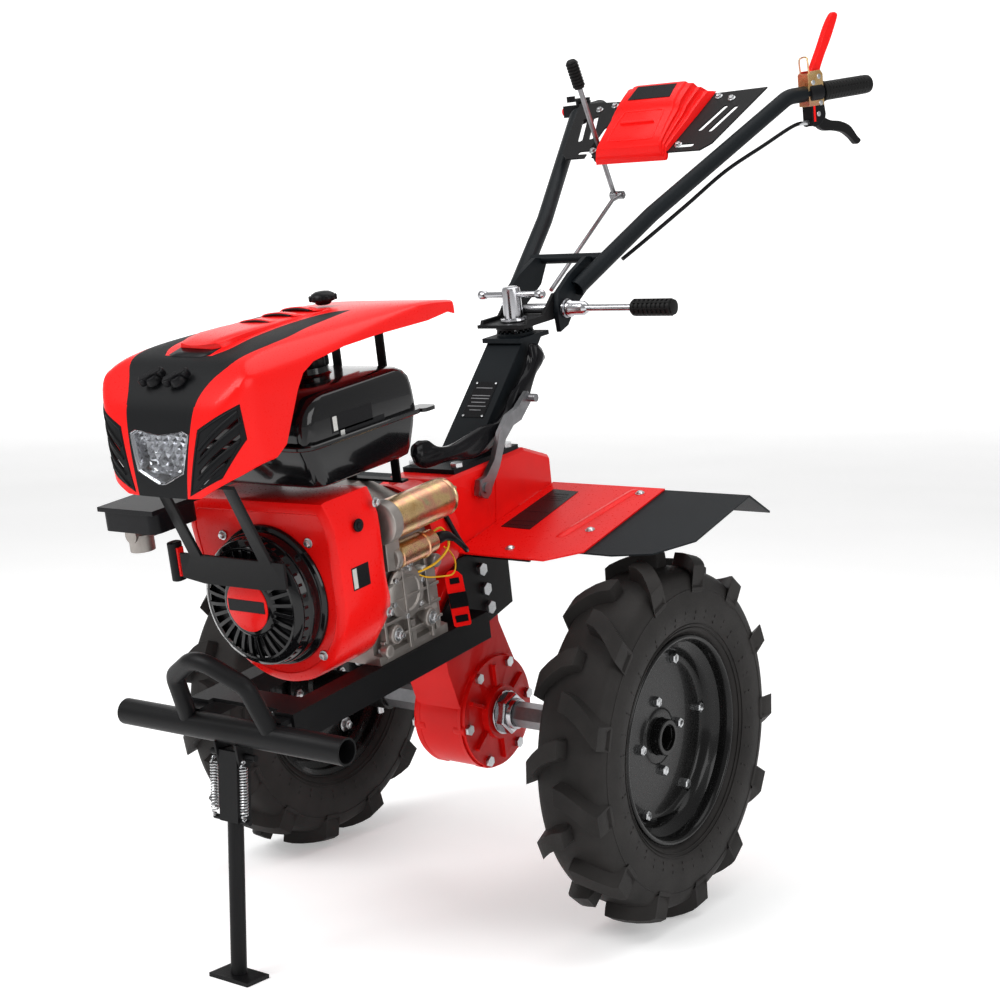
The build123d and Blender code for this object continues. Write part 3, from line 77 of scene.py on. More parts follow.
# ---------------------------------------------------------------- materials
class Graph:
    """A material's node tree, with a short way to add and join nodes."""

    def __init__(self, name):
        self.mat = bpy.data.materials.new(name)
        self.mat.use_nodes = True
        self.tree = self.mat.node_tree
        self.shader = self.tree.nodes["Principled BSDF"]
        self.place = self.add("ShaderNodeTexCoord").outputs["Object"]

    def add(self, kind, **settings):
        node = self.tree.nodes.new(kind)
        for key, value in settings.items():
            if key in node.inputs:
                node.inputs[key].default_value = value
            else:
                setattr(node, key, value)
        return node

    def join(self, output, target):
        self.tree.links.new(output, target)

    def noise(self, scale, detail=3.0, stretch=None):
        """Noise over the surface; scale is in cells per metre."""
        node = self.add("ShaderNodeTexNoise", Scale=scale, Detail=detail)
        if stretch:
            mapping = self.add("ShaderNodeMapping")
            mapping.inputs["Scale"].default_value = stretch
            self.join(self.place, mapping.inputs["Vector"])
            self.join(mapping.outputs["Vector"], node.inputs["Vector"])
        else:
            self.join(self.place, node.inputs["Vector"])
        return node.outputs["Fac"]

    def ramp(self, factor, stops):
        node = self.add("ShaderNodeValToRGB")
        ramp = node.color_ramp
        while len(ramp.elements) < len(stops):
            ramp.elements.new(0.5)
        for element, (at, colour) in zip(ramp.elements, stops):
            element.position = at
            element.color = (*colour, 1)
        self.join(factor, node.inputs["Fac"])
        return node.outputs["Color"]

    def spread(self, factor, low, high):
        node = self.add("ShaderNodeMapRange")
        node.inputs["From Min"].default_value = 0.3
        node.inputs["From Max"].default_value = 0.7
        node.inputs["To Min"].default_value = low
        node.inputs["To Max"].default_value = high
        self.join(factor, node.inputs["Value"])
        return node.outputs["Result"]

    def bump(self, height, strength, distance):
        node = self.add("ShaderNodeBump", Strength=strength, Distance=distance)
        self.join(height, node.inputs["Height"])
        self.join(node.outputs["Normal"], self.shader.inputs["Normal"])


def shade(colour, factor):
    return tuple(min(1.0, c * factor) for c in colour)


def surface(name, colour, rough, metal=0.0, coat=0.0, grain=0.0, grain_scale=900.0, vary=0.12,
            vary_scale=9.0, stretch=None, grain_depth=0.0004):
    """A procedural finish: colour and gloss that vary a little, and a fine grain in relief."""
    g = Graph(name)
    broad = g.noise(vary_scale, 4.0, stretch)
    stops = [(0.3, shade(colour, 1 - vary)), (0.7, shade(colour, 1 + vary))]
    g.join(g.ramp(broad, stops), g.shader.inputs["Base Color"])
    fine = g.noise(grain_scale, 2.0, stretch)
    g.join(g.spread(fine, rough * 0.88, min(1.0, rough * 1.12)), g.shader.inputs["Roughness"])
    g.shader.inputs["Metallic"].default_value = metal
    g.shader.inputs["Coat Weight"].default_value = coat
    g.shader.inputs["Coat Roughness"].default_value = 0.06
    g.shader.inputs["Specular IOR Level"].default_value = 0.5 if metal else 0.14
    if grain:
        g.bump(fine, grain, grain_depth)
    return g.mat


def passivated(name):
    """Yellow zinc plate with its drifting rainbow tints."""
    g = Graph(name)
    tint = g.noise(26.0, 3.0)
    stops = [(0.30, (0.58, 0.34, 0.13)), (0.45, (0.72, 0.50, 0.24)), (0.56, (0.70, 0.33, 0.22)),
        (0.72, (0.50, 0.46, 0.24))]
    g.join(g.ramp(tint, stops), g.shader.inputs["Base Color"])
    fine = g.noise(1400.0, 2.0)
    g.join(g.spread(fine, 0.22, 0.36), g.shader.inputs["Roughness"])
    g.shader.inputs["Metallic"].default_value = 1.0
    g.bump(fine, 0.08, 0.0002)
    return g.mat


def lens(name):
    """Clear moulded plastic."""
    g = Graph(name)
    g.shader.inputs["Base Color"].default_value = (0.94, 0.96, 0.97, 1)
    g.shader.inputs["Transmission Weight"].default_value = 1.0
    g.shader.inputs["IOR"].default_value = 1.3
    fine = g.noise(90.0, 2.0)
    g.join(g.spread(fine, 0.02, 0.07), g.shader.inputs["Roughness"])
    return g.mat


MATS = {
    "red_paint": surface("red_paint", (0.80, 0.006, 0.005), 0.30, coat=0.08, grain=0.06, grain_scale=260,
        vary=0.05),
    "red_casting": surface("red_casting", (0.74, 0.006, 0.005), 0.34, coat=0.08, grain=0.30,
        grain_scale=420, vary=0.10),
    "red_plastic": surface("red_plastic", (0.80, 0.007, 0.006), 0.30, coat=0.07, grain=0.05,
        grain_scale=500, vary=0.04),
    "grey_plastic": surface("grey_plastic", (0.0045, 0.005, 0.0058), 0.50, grain=0.28, grain_scale=1500,
        vary=0.10),
    "black_plastic": surface("black_plastic", (0.005, 0.005, 0.006), 0.38, grain=0.22, grain_scale=1300,
        vary=0.15),
    "gloss_black": surface("gloss_black", (0.004, 0.004, 0.0045), 0.14, coat=0.35, grain=0.04,
        grain_scale=300, vary=0.1),
    "black_coat": surface("black_coat", (0.0055, 0.0055, 0.006), 0.44, grain=0.34, grain_scale=1100,
        vary=0.16),
    "grey_coat": surface("grey_coat", (0.0040, 0.0060, 0.0078), 0.50, grain=0.34, grain_scale=1100,
        vary=0.14),
    "tank_black": surface("tank_black", (0.003, 0.003, 0.0035), 0.14, coat=0.5, grain=0.04,
        grain_scale=200, vary=0.1),
    "tyre_rubber": surface("tyre_rubber", (0.017, 0.0155, 0.0148), 0.60, grain=0.42, grain_scale=700,
        vary=0.28, vary_scale=14),
    "grip_rubber": surface("grip_rubber", (0.007, 0.007, 0.007), 0.50, grain=0.30, grain_scale=1200,
        vary=0.15),
    "zinc": surface("zinc", (0.52, 0.53, 0.54), 0.30, metal=1.0, grain=0.10, grain_scale=1800, vary=0.14,
        vary_scale=60),
    "steel": surface("steel", (0.26, 0.26, 0.27), 0.36, metal=1.0, grain=0.16, grain_scale=1600,
        vary=0.18, vary_scale=40),
    "chrome": surface("chrome", (0.48, 0.48, 0.50), 0.18, metal=1.0, grain=0.03, grain_scale=900,
        vary=0.05, vary_scale=30),
    "cast_aluminium": surface("cast_aluminium", (0.31, 0.285, 0.265), 0.46, metal=0.8, grain=0.45,
        grain_scale=800,
                              vary=0.16, vary_scale=24),
    "starter_zinc": passivated("starter_zinc"),
    "clear_lens": lens("clear_lens"),
    "label_black": surface("label_black", (0.006, 0.006, 0.007), 0.30, grain=0.05, grain_scale=900,
        vary=0.1),
    "label_white": surface("label_white", (0.50, 0.50, 0.48), 0.45, grain=0.05, grain_scale=900,
        vary=0.05),
    "sheath": surface("sheath", (0.005, 0.005, 0.006), 0.20, grain=0.10, grain_scale=400, vary=0.2),
    "yellow_wire": surface("yellow_wire", (0.70, 0.38, 0.02), 0.35, grain=0.05, vary=0.06),
    "wheel_black": surface("wheel_black", (0.0045, 0.0045, 0.0045), 0.28, coat=0.2, grain=0.10,
        grain_scale=500, vary=0.15),
}


# ---------------------------------------------------------------- shapes
def basis(axis):
    """Three unit vectors, the last along axis."""
    w = Vector(axis).normalized()
    side = Vector((0, 0, 1)) if abs(w.z) < 0.9 else Vector((1, 0, 0))
    u = side.cross(w).normalized()
    return u, w.cross(u), w


def curve(points, per=6):
    """A smooth path through points."""
    pts = [Vector(p) for p in points]
    pts = [pts[0] * 2 - pts[1]] + pts + [pts[-1] * 2 - pts[-2]]
    path = []
    for i in range(1, len(pts) - 2):
        a, b, c, d = pts[i - 1:i + 3]
        for k in range(per):
            t = k / per
            path.append(0.5 * (
                2 * b + (c - a) * t + (2 * a - 5 * b + 4 * c - d) * t * t + (3 * b - a - 3 * c + d) * t ** 3))
    return path + [pts[-2]]


def arc(cx, cy, radius, start, end, steps=8):
    """Points on an arc, in degrees."""
    turns = [radians(start + (end - start) * k / steps) for k in range(steps + 1)]
    return [(cx + radius * cos(t), cy + radius * sin(t)) for t in turns]


def ring(count, start=0.0):
    """Angles evenly spaced on a full turn."""
    return [radians(start + k * 360 / count) for k in range(count)]


class Shape:
    """A mesh in the making, in the level machine frame, in millimetres."""

    def __init__(self):
        self.verts, self.faces = [], []

    def add(self, verts, faces):
        base = len(self.verts)
        self.verts += [Vector(v) for v in verts]
        self.faces += [tuple(i + base for i in f) for f in faces]
        return self

    def rings(self, loops, closed=False, caps=True):
        """Skin a row of equal loops of points."""
        n, count = len(loops[0]), len(loops)
        faces = []
        for k in range(count if closed else count - 1):
            a, b = k * n, (k + 1) % count * n
            faces += [(a + i, a + (i + 1) % n, b + (i + 1) % n, b + i) for i in range(n)]
        if caps and not closed:
            faces += [tuple(reversed(range(n))), tuple(range((count - 1) * n, count * n))]
        return self.add([p for loop in loops for p in loop], faces)

    def lathe(self, origin, axis, profile, steps=48, closed=False):
        """Turn a profile of (distance along axis, radius) about the axis."""
        u, v, w = basis(axis)
        origin = Vector(origin)
        turns = ring(steps)
        loops = [[origin + w * d + (u * cos(t) + v * sin(t)) * max(r, 0.02) for t in turns] for d,
            r in profile]
        return self.rings(loops, closed)

    def disc(self, origin, axis, radius, depth, edge=1.0, steps=32):
        """A short cylinder with rounded rims."""
        e = min(edge, depth / 2.1, radius / 2)
        profile = [(0, radius - e), (e * 0.3, radius - e * 0.3), (e, radius), (depth - e, radius),
                   (depth - e * 0.3, radius - e * 0.3), (depth, radius - e)]
        return self.lathe(origin, axis, profile, steps)

    def rod(self, start, end, radius, steps=20, edge=0.8):
        start, end = Vector(start), Vector(end)
        return self.disc(start, end - start, radius, (end - start).length, edge, steps)

    def tube(self, path, radius, steps=14, bore=0.0):
        """A round bar along a path, or a tube with open ends."""
        pts = [Vector(p) for p in path]
        tangents = [(pts[min(i + 1, len(pts) - 1)] - pts[max(i - 1, 0)]).normalized()
            for i in range(len(pts))]
        u = basis(tangents[0])[0]
        radii = radius if isinstance(radius, list) else [radius] * len(pts)
        loops = []
        for p, t, r in zip(pts, tangents, radii):
            u = (u - t * u.dot(t)).normalized()
            v = t.cross(u)
            loops.append([p + (u * cos(a) + v * sin(a)) * r for a in ring(steps)])
        if bore:
            inner = [[p + (q - p) * (bore / r) for q in loop] for p, loop, r in zip(pts, loops, radii)]
            return self.rings(loops + inner[::-1], closed=True)
        return self.rings(loops)

    def prism(self, origin, x_dir, y_dir, outline, depth):
        """Extrude an outline drawn on two directions, along their cross product."""
        origin, x_dir, y_dir = Vector(origin), Vector(x_dir).normalized(), Vector(y_dir).normalized()
        out = x_dir.cross(y_dir) * depth
        low = [origin + x_dir * a + y_dir * b for a, b in outline]
        return self.rings([low, [p + out for p in low]])

    def side(self, outline, x0, x1):
        """Extrude an outline of (y, z) from x0 to x1."""
        return self.prism((x0, 0, 0), (0, 1, 0), (0, 0, 1), outline, x1 - x0)

    def front(self, outline, y0, y1):
        """Extrude an outline of (x, z) from y0 forward to y1."""
        return self.prism((0, y0, 0), (1, 0, 0), (0, 0, 1), outline, y0 - y1)

    def top(self, outline, z0, z1):
        """Extrude an outline of (x, y) from z0 up to z1."""
        return self.prism((0, 0, z0), (1, 0, 0), (0, 1, 0), outline, z1 - z0)

    def box(self, centre, size, axes=None):
        x, y, z = axes or (Vector((1, 0, 0)), Vector((0, 1, 0)), Vector((0, 0, 1)))
        a, b, c = size[0] / 2, size[1] / 2, size[2] / 2
        outline = [(-a, -b), (a, -b), (a, b), (-a, b)]
        return self.prism(Vector(centre) - z * c, x, y, outline, 2 * c)

    def bolt(self, seat, axis, flats=13.0, height=7.0, washer=True, turn=0.0):
        """A hex head with a chamfered top, on a washer."""
        u, v, w = basis(axis)
        seat = Vector(seat)
        if washer:
            self.disc(seat, w, flats * 0.86, 1.6, 0.5, 24)
            seat = seat + w * 1.6
        corner = flats / 2 / cos(pi / 6)

        def hexagon(radius, up):
            return [seat + w * up + (u * cos(a) + v * sin(a)) * radius for a in ring(6, turn)]

        self.rings([hexagon(corner, 0), hexagon(corner, height * 0.84), hexagon(corner * 0.84, height)])
        return self.disc(seat + w * (height - 0.3), w, flats * 0.36, 0.6, 0.3, 18)

    def nut_end(self, seat, axis, flats=16.0, stud=5.0, length=12.0):
        """A nut with the end of its stud standing out."""
        self.bolt(seat, axis, flats, flats * 0.5)
        w = Vector(axis).normalized()
        return self.rod(Vector(seat) + w * flats * 0.4, Vector(seat) + w * length, stud, 14)

    def both(self):
        """Add the mirror image across the middle of the machine."""
        verts = [Vector((-v.x, v.y, v.z)) for v in self.verts]
        return self.add(verts, [tuple(reversed(f)) for f in list(self.faces)])

    def make(self, name, body, slot, material=None, replaces=(), bevel=0.0, segments=2, smooth=40.0,
             subdivide=0, thick=0.0, angle=32.0):
        """Turn the shape into a Blender piece that rides on a body."""
        mesh = bpy.data.meshes.new(name)
        mesh.from_pydata([STANCE @ v for v in self.verts], [], self.faces)
        mesh.update()
        return dress(mesh, name, body, slot, material, replaces, bevel, segments, smooth, subdivide,
            thick, angle)


def dress(mesh, name, body, slot, material, replaces, bevel, segments, smooth, subdivide, thick, angle):
    """Link a mesh as a piece, with its modifiers, material and body; the slot picks the material when none is
    given.
    """
    obj = bpy.data.objects.new(name, mesh)
    bpy.context.scene.collection.objects.link(obj)
    mesh.polygons.foreach_set("use_smooth", [True] * len(mesh.polygons))
    mesh.set_sharp_from_angle(angle=radians(smooth))
    mesh.materials.append(MATS[material or slot])
    if thick:
        solid = obj.modifiers.new("wall", "SOLIDIFY")
        solid.thickness = thick * MM
        solid.offset = -1.0
    if bevel:
        edge = obj.modifiers.new("edges", "BEVEL")
        edge.width = bevel * MM
        edge.segments = segments
        edge.limit_method = "ANGLE"
        edge.angle_limit = radians(angle)
        edge.harden_normals = True
    if subdivide:
        sub = obj.modifiers.new("smooth", "SUBSURF")
        sub.levels = subdivide
        sub.render_levels = subdivide
    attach(obj, body)
    if replaces:
        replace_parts(obj, *replaces)
    return obj


BODY_OF = {node: body for body, nodes in frame["record"]["behaviour"]["bodies"].items() for node in nodes}
SLOT_OF = {row["node"]: row["material_slot"] for row in frame["record"]["subparts"]}


def soften(node, bevel, material=None, name=None, segments=2):
    """Stand a copy with rounded edges for a CAD node whose shape is right."""

    mesh = frame["nodes"][node].data.copy()
    mesh.materials.clear()
    bm = bmesh.new()
    bm.from_mesh(mesh)
    bmesh.ops.remove_doubles(bm, verts=bm.verts, dist=2e-5)
    bmesh.ops.dissolve_limit(bm, angle_limit=radians(1.0), verts=bm.verts, edges=bm.edges)
    bm.to_mesh(mesh)
    bm.free()
    slot = SLOT_OF[node]
    return dress(mesh, name or f"{node}_body", BODY_OF[node], slot, material, [node], bevel, segments,
        32.0, 0, 0, 32.0)


# ---------------------------------------------------------------- wheels
WHEEL_X = 370.0
LUGS = 13
GROUND = 270 - LEAN


def rib_profile(points, per=5):
    return [(p.x, p.y) for p in curve([(d, r, 0) for d, r in points], per)]


def tyre(side):
    """Lugged tyre: carcass, sidewall rings and nibs, and bars that run from the crown to the shoulder."""
    s = Shape()
    outer = rib_profile([
        (-43, 171), (-50, 178), (-57, 192), (-60.5, 212), (-59.5, 236), (-56, 256), (-47, 268),
            (-24, 273.5),
        (0, 275), (24, 273.5), (47, 268), (56, 256), (59.5, 236), (60.5, 212), (57, 192), (50, 178),
            (43, 171),
    ])
    profile = [(-31, 168), (-43, 162)] + outer + [(43, 162), (31, 168), (32, 210), (20, 255), (-20, 255),
        (-32, 210)]
    s.lathe((WHEEL_X, 0, 0), (1, 0, 0), profile, 144, closed=True)
    for hand in (1, -1):
        for radius, x, size in ((180, 52.5, 1.1), (186, 55.6, 1.0), (243, 58.6, 1.2)):
            loop = [(x + size * cos(a), radius + size * sin(a)) for a in ring(6)]
            s.lathe((WHEEL_X, 0, 0), (hand, 0, 0), loop, 144, closed=True)
        for radius, x, count in ((196, 58.4, 40), (206, 60.2, 40)):
            for k, turn in enumerate(ring(count, 3)):
                out = Vector((0, cos(turn), sin(turn)))
                along = Vector((hand, 0, 0))
                centre = Vector((WHEEL_X + hand * x, 0, 0)) + out * (radius + 2.5 * (k % 2))
                s.box(centre, (5.0, 2.2, 1.4), (out, along.cross(out) * hand, along * hand))
        for k in range(LUGS):
            lug(s, hand, GROUND + (k + (0.5 if hand < 0 else 0)) * 360 / LUGS)
    for v in s.verts:
        radius = sqrt(v.y ** 2 + v.z ** 2)
        if radius > WHEEL_R - 0.3:
            v.y, v.z = v.y * (WHEEL_R - 0.3) / radius, v.z * (WHEEL_R - 0.3) / radius
    if side < 0:
        s.verts = [Vector((-v.x, v.y, v.z)) for v in s.verts]
        s.faces = [tuple(reversed(f)) for f in s.faces]
    node = "tyre_left" if side > 0 else "tyre_right"
    s.make(f"lugged_{node}", "wheels", "tyre_rubber", replaces=[node], bevel=1.6, segments=2, angle=38)


def lug(s, hand, angle):
    """One bar: blunt at the crown, swept back to the shoulder and down its side."""
    stations = [
        (-7, 12, 286, 268, -3), (-3, 15, 297.5, 268, -2), (14, 15.5, 297.5, 268, 3),
            (30, 16, 295, 264, 13),
        (44, 17, 291, 260, 25), (56, 18, 286, 250, 37), (61.5, 18.5, 281, 246, 42),
            (61.2, 17, 258, 240, 43),
        (57, 14, 246, 236, 43),
    ]
    loops = []
    for x, half, high, low, lag in stations:
        loop = []
        for across, radius in ((-half - 2.5, low), (-half + 1.5, high), (half - 1.5, high),
                (half + 2.5, low)):
            turn = radians(angle) + (lag + across) / 272
            loop.append(Vector((WHEEL_X + hand * x, radius * cos(turn), radius * sin(turn))))
        loops.append(loop if hand > 0 else loop[::-1])
    s.rings(loops)


for side in (1, -1):
    tyre(side)

INNER_R, OUTER_R = 59.5, 128.0
INNER_START, OUTER_START = 90.8, 61.0
DISH_FACE = 3.0


def rim(side):
    """Pressed rim: rolled lips, drop centre and a dished disc with a pressed ring round its hub."""
    s = Shape()
    lip = arc(44.0, 165.0, 4.6, 130, -60, 8)
    barrel = lip + [(40, 158.5), (28, 157.5), (24, 153), (21, 146), (16, 141), (10, 139)]
    face = rib_profile([(10, 139), (5.5, 136), (3.0, 130), (DISH_FACE, 110), (DISH_FACE, 70),
        (DISH_FACE, 48), (4.6, 44), (5.4, 38), (5.4, 31)], 4)
    back = [(1, 31), (-1.5, 44), (-1.5, 132), (2, 142), (-16, 143), (-21, 148), (-26, 157), (-40, 158)]
    outside = [(-46, 166), (-44.5, 169), (-43.2, 168), (-42.5, 161), (-25, 160.2), (-20, 147), (18, 147),
        (25, 160.2), (42.0, 161.2)]
    s.lathe((side * WHEEL_X, 0, 0), (side, 0, 0), barrel + face[1:] + back + outside, 128, closed=True)
    body = "rim_left" if side > 0 else "rim_right"
    s.make(f"pressed_{body}", "wheels", "black_coat", "wheel_black", [body], smooth=35)
    v = Shape()
    at = Vector((side * (WHEEL_X + 12), -38, -130))
    stem = curve([at, at + Vector((side * 10, 2, 5)), at + Vector((side * 26, 5, 14))])
    v.tube(stem, [5.0 - 0.15 * k for k in range(len(stem))], 12)
    end = at + Vector((side * 26, 5, 14))
    v.rod(end, end + Vector((side * 9, 1.5, 5)), 2.7, 12)
    v.make(f"valve_{body}", "wheels", "grip_rubber")


for side in (1, -1):
    rim(side)

hubs = Shape()
hubs.lathe((WHEEL_X - 8, 0, 0), (1, 0, 0), [
    (-178, 27), (-172, 27.5), (-14, 27.5), (-8, 34), (-6, 78), (2, 78), (2, 30), (12, 29.5), (27, 29.5),
        (29.5, 28), (29.5, 21.2),
    (-178, 21.2),
], 64, closed=True)
hex_bore = [(21.6 * cos(a), 21.6 * sin(a)) for a in ring(6, 30)]
outer_bore = [(27.0 * cos(a), 27.0 * sin(a)) for a in ring(6, 30)]
low = [Vector((WHEEL_X + 16, y, z)) for y, z in hex_bore]
wide = [Vector((WHEEL_X + 16, y, z)) for y, z in outer_bore]
deep = [p - Vector((190, 0, 0)) for p in low]
hubs.rings([deep, low, wide, [p - Vector((190, 0, 0)) for p in wide]], closed=True)
hubs.both()
hubs.make("hub_sleeves", "wheels", "black_coat", "wheel_black", ["wheel_hubs"], bevel=0.8)

fasteners = Shape()
for radius, count, start in ((INNER_R, 4, INNER_START), (OUTER_R, 6, OUTER_START)):
    for turn in ring(count, start):
        seat = Vector((WHEEL_X + DISH_FACE, radius * cos(turn), radius * sin(turn)))
        fasteners.bolt(seat, (1, 0, 0), 15, 8.5, washer=False, turn=17)
        fasteners.nut_end(seat - Vector((12.5 if radius == INNER_R else 5.5, 0, 0)), (-1, 0, 0), 17, 5.6,
            12)
fasteners.rod((215, 0, 40), (215, 0, -40), 5.9)
fasteners.disc((215, 0, 29), (0, 0, 1), 10, 9, 1.5)
fasteners.both()
fasteners.make("wheel_fasteners", "wheels", "zinc", replaces=["wheel_bolts"], bevel=0.4)
collars = Shape()
for hand in (1, -1):
    hexagon = [[Vector((hand * x, 31 / cos(pi / 6) * k * cos(a), 31 / cos(pi / 6) * k * sin(a)))
        for a in ring(6, 12)]
               for x, k in ((68.6, 0.95), (71, 1), (86, 1), (89, 0.93))]
    collars.rings(hexagon if hand > 0 else [loop[::-1] for loop in hexagon])
    collars.lathe((hand * 66.8, 0, 0), (hand, 0, 0), [(0, 36), (1.5, 38), (4.5, 38), (6, 36.5)], 48)
    collars.lathe((hand * 88, 0, 0), (hand, 0, 0), [(0, 27), (9, 26), (10.5, 24)], 48)
collars.make("bearing_collars", "wheels", "zinc", "chrome", bevel=1.2)


# ---------------------------------------------------------------- booleans
def prism_of(shape):
    """A closed helper solid in the row frame."""
    mesh = bpy.data.meshes.new("cutter")
    mesh.from_pydata([STANCE @ v for v in shape.verts], [], shape.faces)
    obj = bpy.data.objects.new("cutter", mesh)
    bpy.context.scene.collection.objects.link(obj)
    return obj


def settle(obj):
    """Apply an object's modifiers to its mesh."""
    graph = bpy.context.evaluated_depsgraph_get()
    mesh = bpy.data.meshes.new_from_object(obj.evaluated_get(graph))
    obj.modifiers.clear()
    obj.data = mesh
    return obj


def carve(obj, cutter, operation):
    """Cut a solid by a shape: DIFFERENCE, INTERSECT or UNION."""
    tool = prism_of(cutter)
    cut = obj.modifiers.new("cut", "BOOLEAN")
    cut.operation = operation
    cut.solver = "EXACT"
    cut.object = tool
    settle(obj)
    bpy.data.objects.remove(tool)
    return obj


def copy_of(obj):
    twin = bpy.data.objects.new("twin", obj.data.copy())
    bpy.context.scene.collection.objects.link(twin)
    return twin


def become(obj, name, body, slot, material=None, replaces=(), bevel=0.0, smooth=30.0, segments=2,
        angle=32.0):
    """Turn a carved solid into a finished piece."""
    mesh = obj.data
    mesh.materials.clear()
    bpy.data.objects.remove(obj)
    mesh.name = name
    return dress(mesh, name, body, slot, material, replaces, bevel, segments, smooth, 0, 0, angle)


# ---------------------------------------------------------------- hood

HOOD_SIDE = [(-626, 500), (-626, 560), (-617, 628), (-608, 664), (-584, 697), (-552, 722), (-480, 739),
    (-245, 746), (-60, 724), (0, 712)]
HOOD_PLAN = [(0, -628), (52, -628), (97, -619), (136, -586), (150, -556), (150, -470), (136, -300),
    (108, -60), (101, 0)]
HOOD_FRONT = [(153, 480), (152, 640), (149, 698), (118, 730), (60, 746), (0, 751)]
HOOD_SOFT = 3.2
SPINE_Y, SPINE_Z = -500.0, 600.0
TAIL_Y = -60.0


def half_planes(points, axes):
    """Outward unit normals and offsets of a convex chain drawn on two axes."""
    rows = []
    for (a0, b0), (a1, b1) in zip(points, points[1:]):
        length = sqrt((a1 - a0) ** 2 + (b1 - b0) ** 2)
        normal = np.zeros(3)
        normal[axes[0]], normal[axes[1]] = -(b1 - b0) / length, (a1 - a0) / length
        rows.append((normal, -(b1 - b0) / length * a0 + (a1 - a0) / length * b0))
    return rows


def outward(rows, inside):
    """Flip each half plane so that inside is on its negative side."""
    return [(n, d) if n @ inside < d else (-n, -d) for n, d in rows]


HOOD_HEART = np.array([40.0, -480.0, 650.0])
planes = outward(half_planes(HOOD_SIDE, (1, 2)) + half_planes(HOOD_PLAN, (0, 1)) + half_planes(HOOD_FRONT,
    (0, 2)), HOOD_HEART)
NORMALS = np.array([n for n, _ in planes])
OFFSETS = np.array([d for _, d in planes])


def hood_gap(points):
    """How far points are outside the rounded hood; points is an array of rows."""
    folded = points * 1.0
    folded[:, 0] = abs(folded[:, 0])
    away = (folded @ NORMALS.T - OFFSETS) / HOOD_SOFT
    top = away.max(axis=1)
    return HOOD_SOFT * (top + np.log(np.exp(away - top[:, None]).sum(axis=1)))


def hood_hit(origins, directions, far=500.0):
    """Where rays from inside meet the hood's surface."""
    near, end = np.zeros(len(origins)), np.full(len(origins), far)
    for _ in range(30):
        mid = (near + end) / 2
        inside = hood_gap(origins + directions * mid[:, None]) < 0
        near, end = np.where(inside, mid, near), np.where(inside, end, mid)
    return origins + directions * near[:, None]


def hood_front_at(points, lift=0.0):
    """Surface points over (x, z), looking from the front, lifted off the surface."""
    origins = np.array([[x, SPINE_Y, z] for x, z in points], float)
    hits = hood_hit(origins, np.tile([0.0, -1.0, 0.0], (len(points), 1)))
    return [Vector(h) + Vector((0, -lift, 0)) for h in hits]


def hood_top_at(points, lift=0.0):
    """Surface points over (x, y), looking from above."""
    origins = np.array([[x, y, 640.0] for x, y in points], float)
    hits = hood_hit(origins, np.tile([0.0, 0.0, 1.0], (len(points), 1)))
    return [Vector(h) + Vector((0, 0, lift)) for h in hits]


def hood_skin():
    """The whole hood as a closed thin shell, before it is split."""
    sections = [((0, SPINE_Y, SPINE_Z), radians(-44 + 134 * k / 64)) for k in range(64)]
    sections += [((0, SPINE_Y + (TAIL_Y - SPINE_Y) * k / 36, SPINE_Z), radians(90)) for k in range(37)]
    across = [radians(-99 + 198 * k / 96) for k in range(97)]
    origins, directions = [], []
    for origin, turn in sections:
        for a in across:
            origins.append(origin)
            directions.append((sin(a), -cos(turn) * cos(a), sin(turn) * cos(a)))
    hits = hood_hit(np.array(origins, float), np.array(directions, float))
    s = Shape()
    n = len(across)
    faces = [(k * n + i, k * n + i + 1, (k + 1) * n + i + 1, (k + 1) * n + i)
             for k in range(len(sections) - 1) for i in range(n - 1)]
    s.add([Vector(h) for h in hits], faces)
    obj = prism_of(s)
    wall = obj.modifiers.new("wall", "SOLIDIFY")
    wall.thickness = 3.4 * MM
    wall.offset = -1.0
    settle(obj)
    trim = Shape().side([
        (-660, 516), (-660, 800), (TAIL_Y - 1, 800), (TAIL_Y - 1, 700), (-80, 706), (-142, 703),
            (-274, 707), (-365, 706),
        (-440, 699), (-466, 688), (-482, 668), (-520, 600), (-560, 576), (-604, 558),
    ], -200, 200)
    carve(obj, trim, "INTERSECT")
    lower = Shape().front([
        (-200, 820), (200, 820), (200, 612), (152, 590), (128, 574), (62, 540), (44, 516), (-44, 516),
            (-62, 540), (-128, 574),
        (-152, 590), (-200, 612),
    ], 100, -700)
    return carve(obj, lower, "INTERSECT")


STRIPE_OUT = [(66, -640), (67, -604), (80, -580), (101, -552), (109, -505), (102, -440), (90, -390),
    (78, -320), (68, -262)]
STRIPE_IN = [(66, -264), (54, -290), (48, -330), (50, -393), (59, -455), (61, -508), (46, -537)]
PANEL_FRONT = [(66, 700), (66, 664), (56, 600), (50, 560), (43, 500)]
GRILLE = [(53, 547), (75, 639), (134, 670), (136, 621), (107, 572)]
LENS = [(2, 630), (47, 636), (59, 631), (46, 578), (4, 560)]


def loop_of(half):
    """A closed outline from its +X half, top to bottom."""
    return list(half) + [(-x, z) for x, z in reversed(half)]


def smooth_half(points, per=4):
    return [(p.x, p.y) for p in curve([(x, y, 0) for x, y in points], per)]


def split(obj, tool, operation):
    """Cut a solid by another solid, which stays."""
    cut = obj.modifiers.new("cut", "BOOLEAN")
    cut.operation = operation
    cut.solver = "EXACT"
    cut.object = tool
    return settle(obj)


def forward(outline, y0=-520, y1=-700):
    """A prism of an (x, z) outline, wound so that its faces look outward."""
    area = sum(a[0] * b[1] - b[0] * a[1] for a, b in zip(outline, outline[1:] + outline[:1]))
    return Shape().front(outline if area > 0 else outline[::-1], y0, y1)


def inset(outline, by):
    """A convex outline moved in by a distance."""
    cx = sum(x for x, _ in outline) / len(outline)
    cz = sum(z for _, z in outline) / len(outline)
    out = []
    for x, z in outline:
        length = sqrt((x - cx) ** 2 + (z - cz) ** 2)
        out.append((x + (cx - x) * by / length, z + (cz - z) * by / length))
    return out


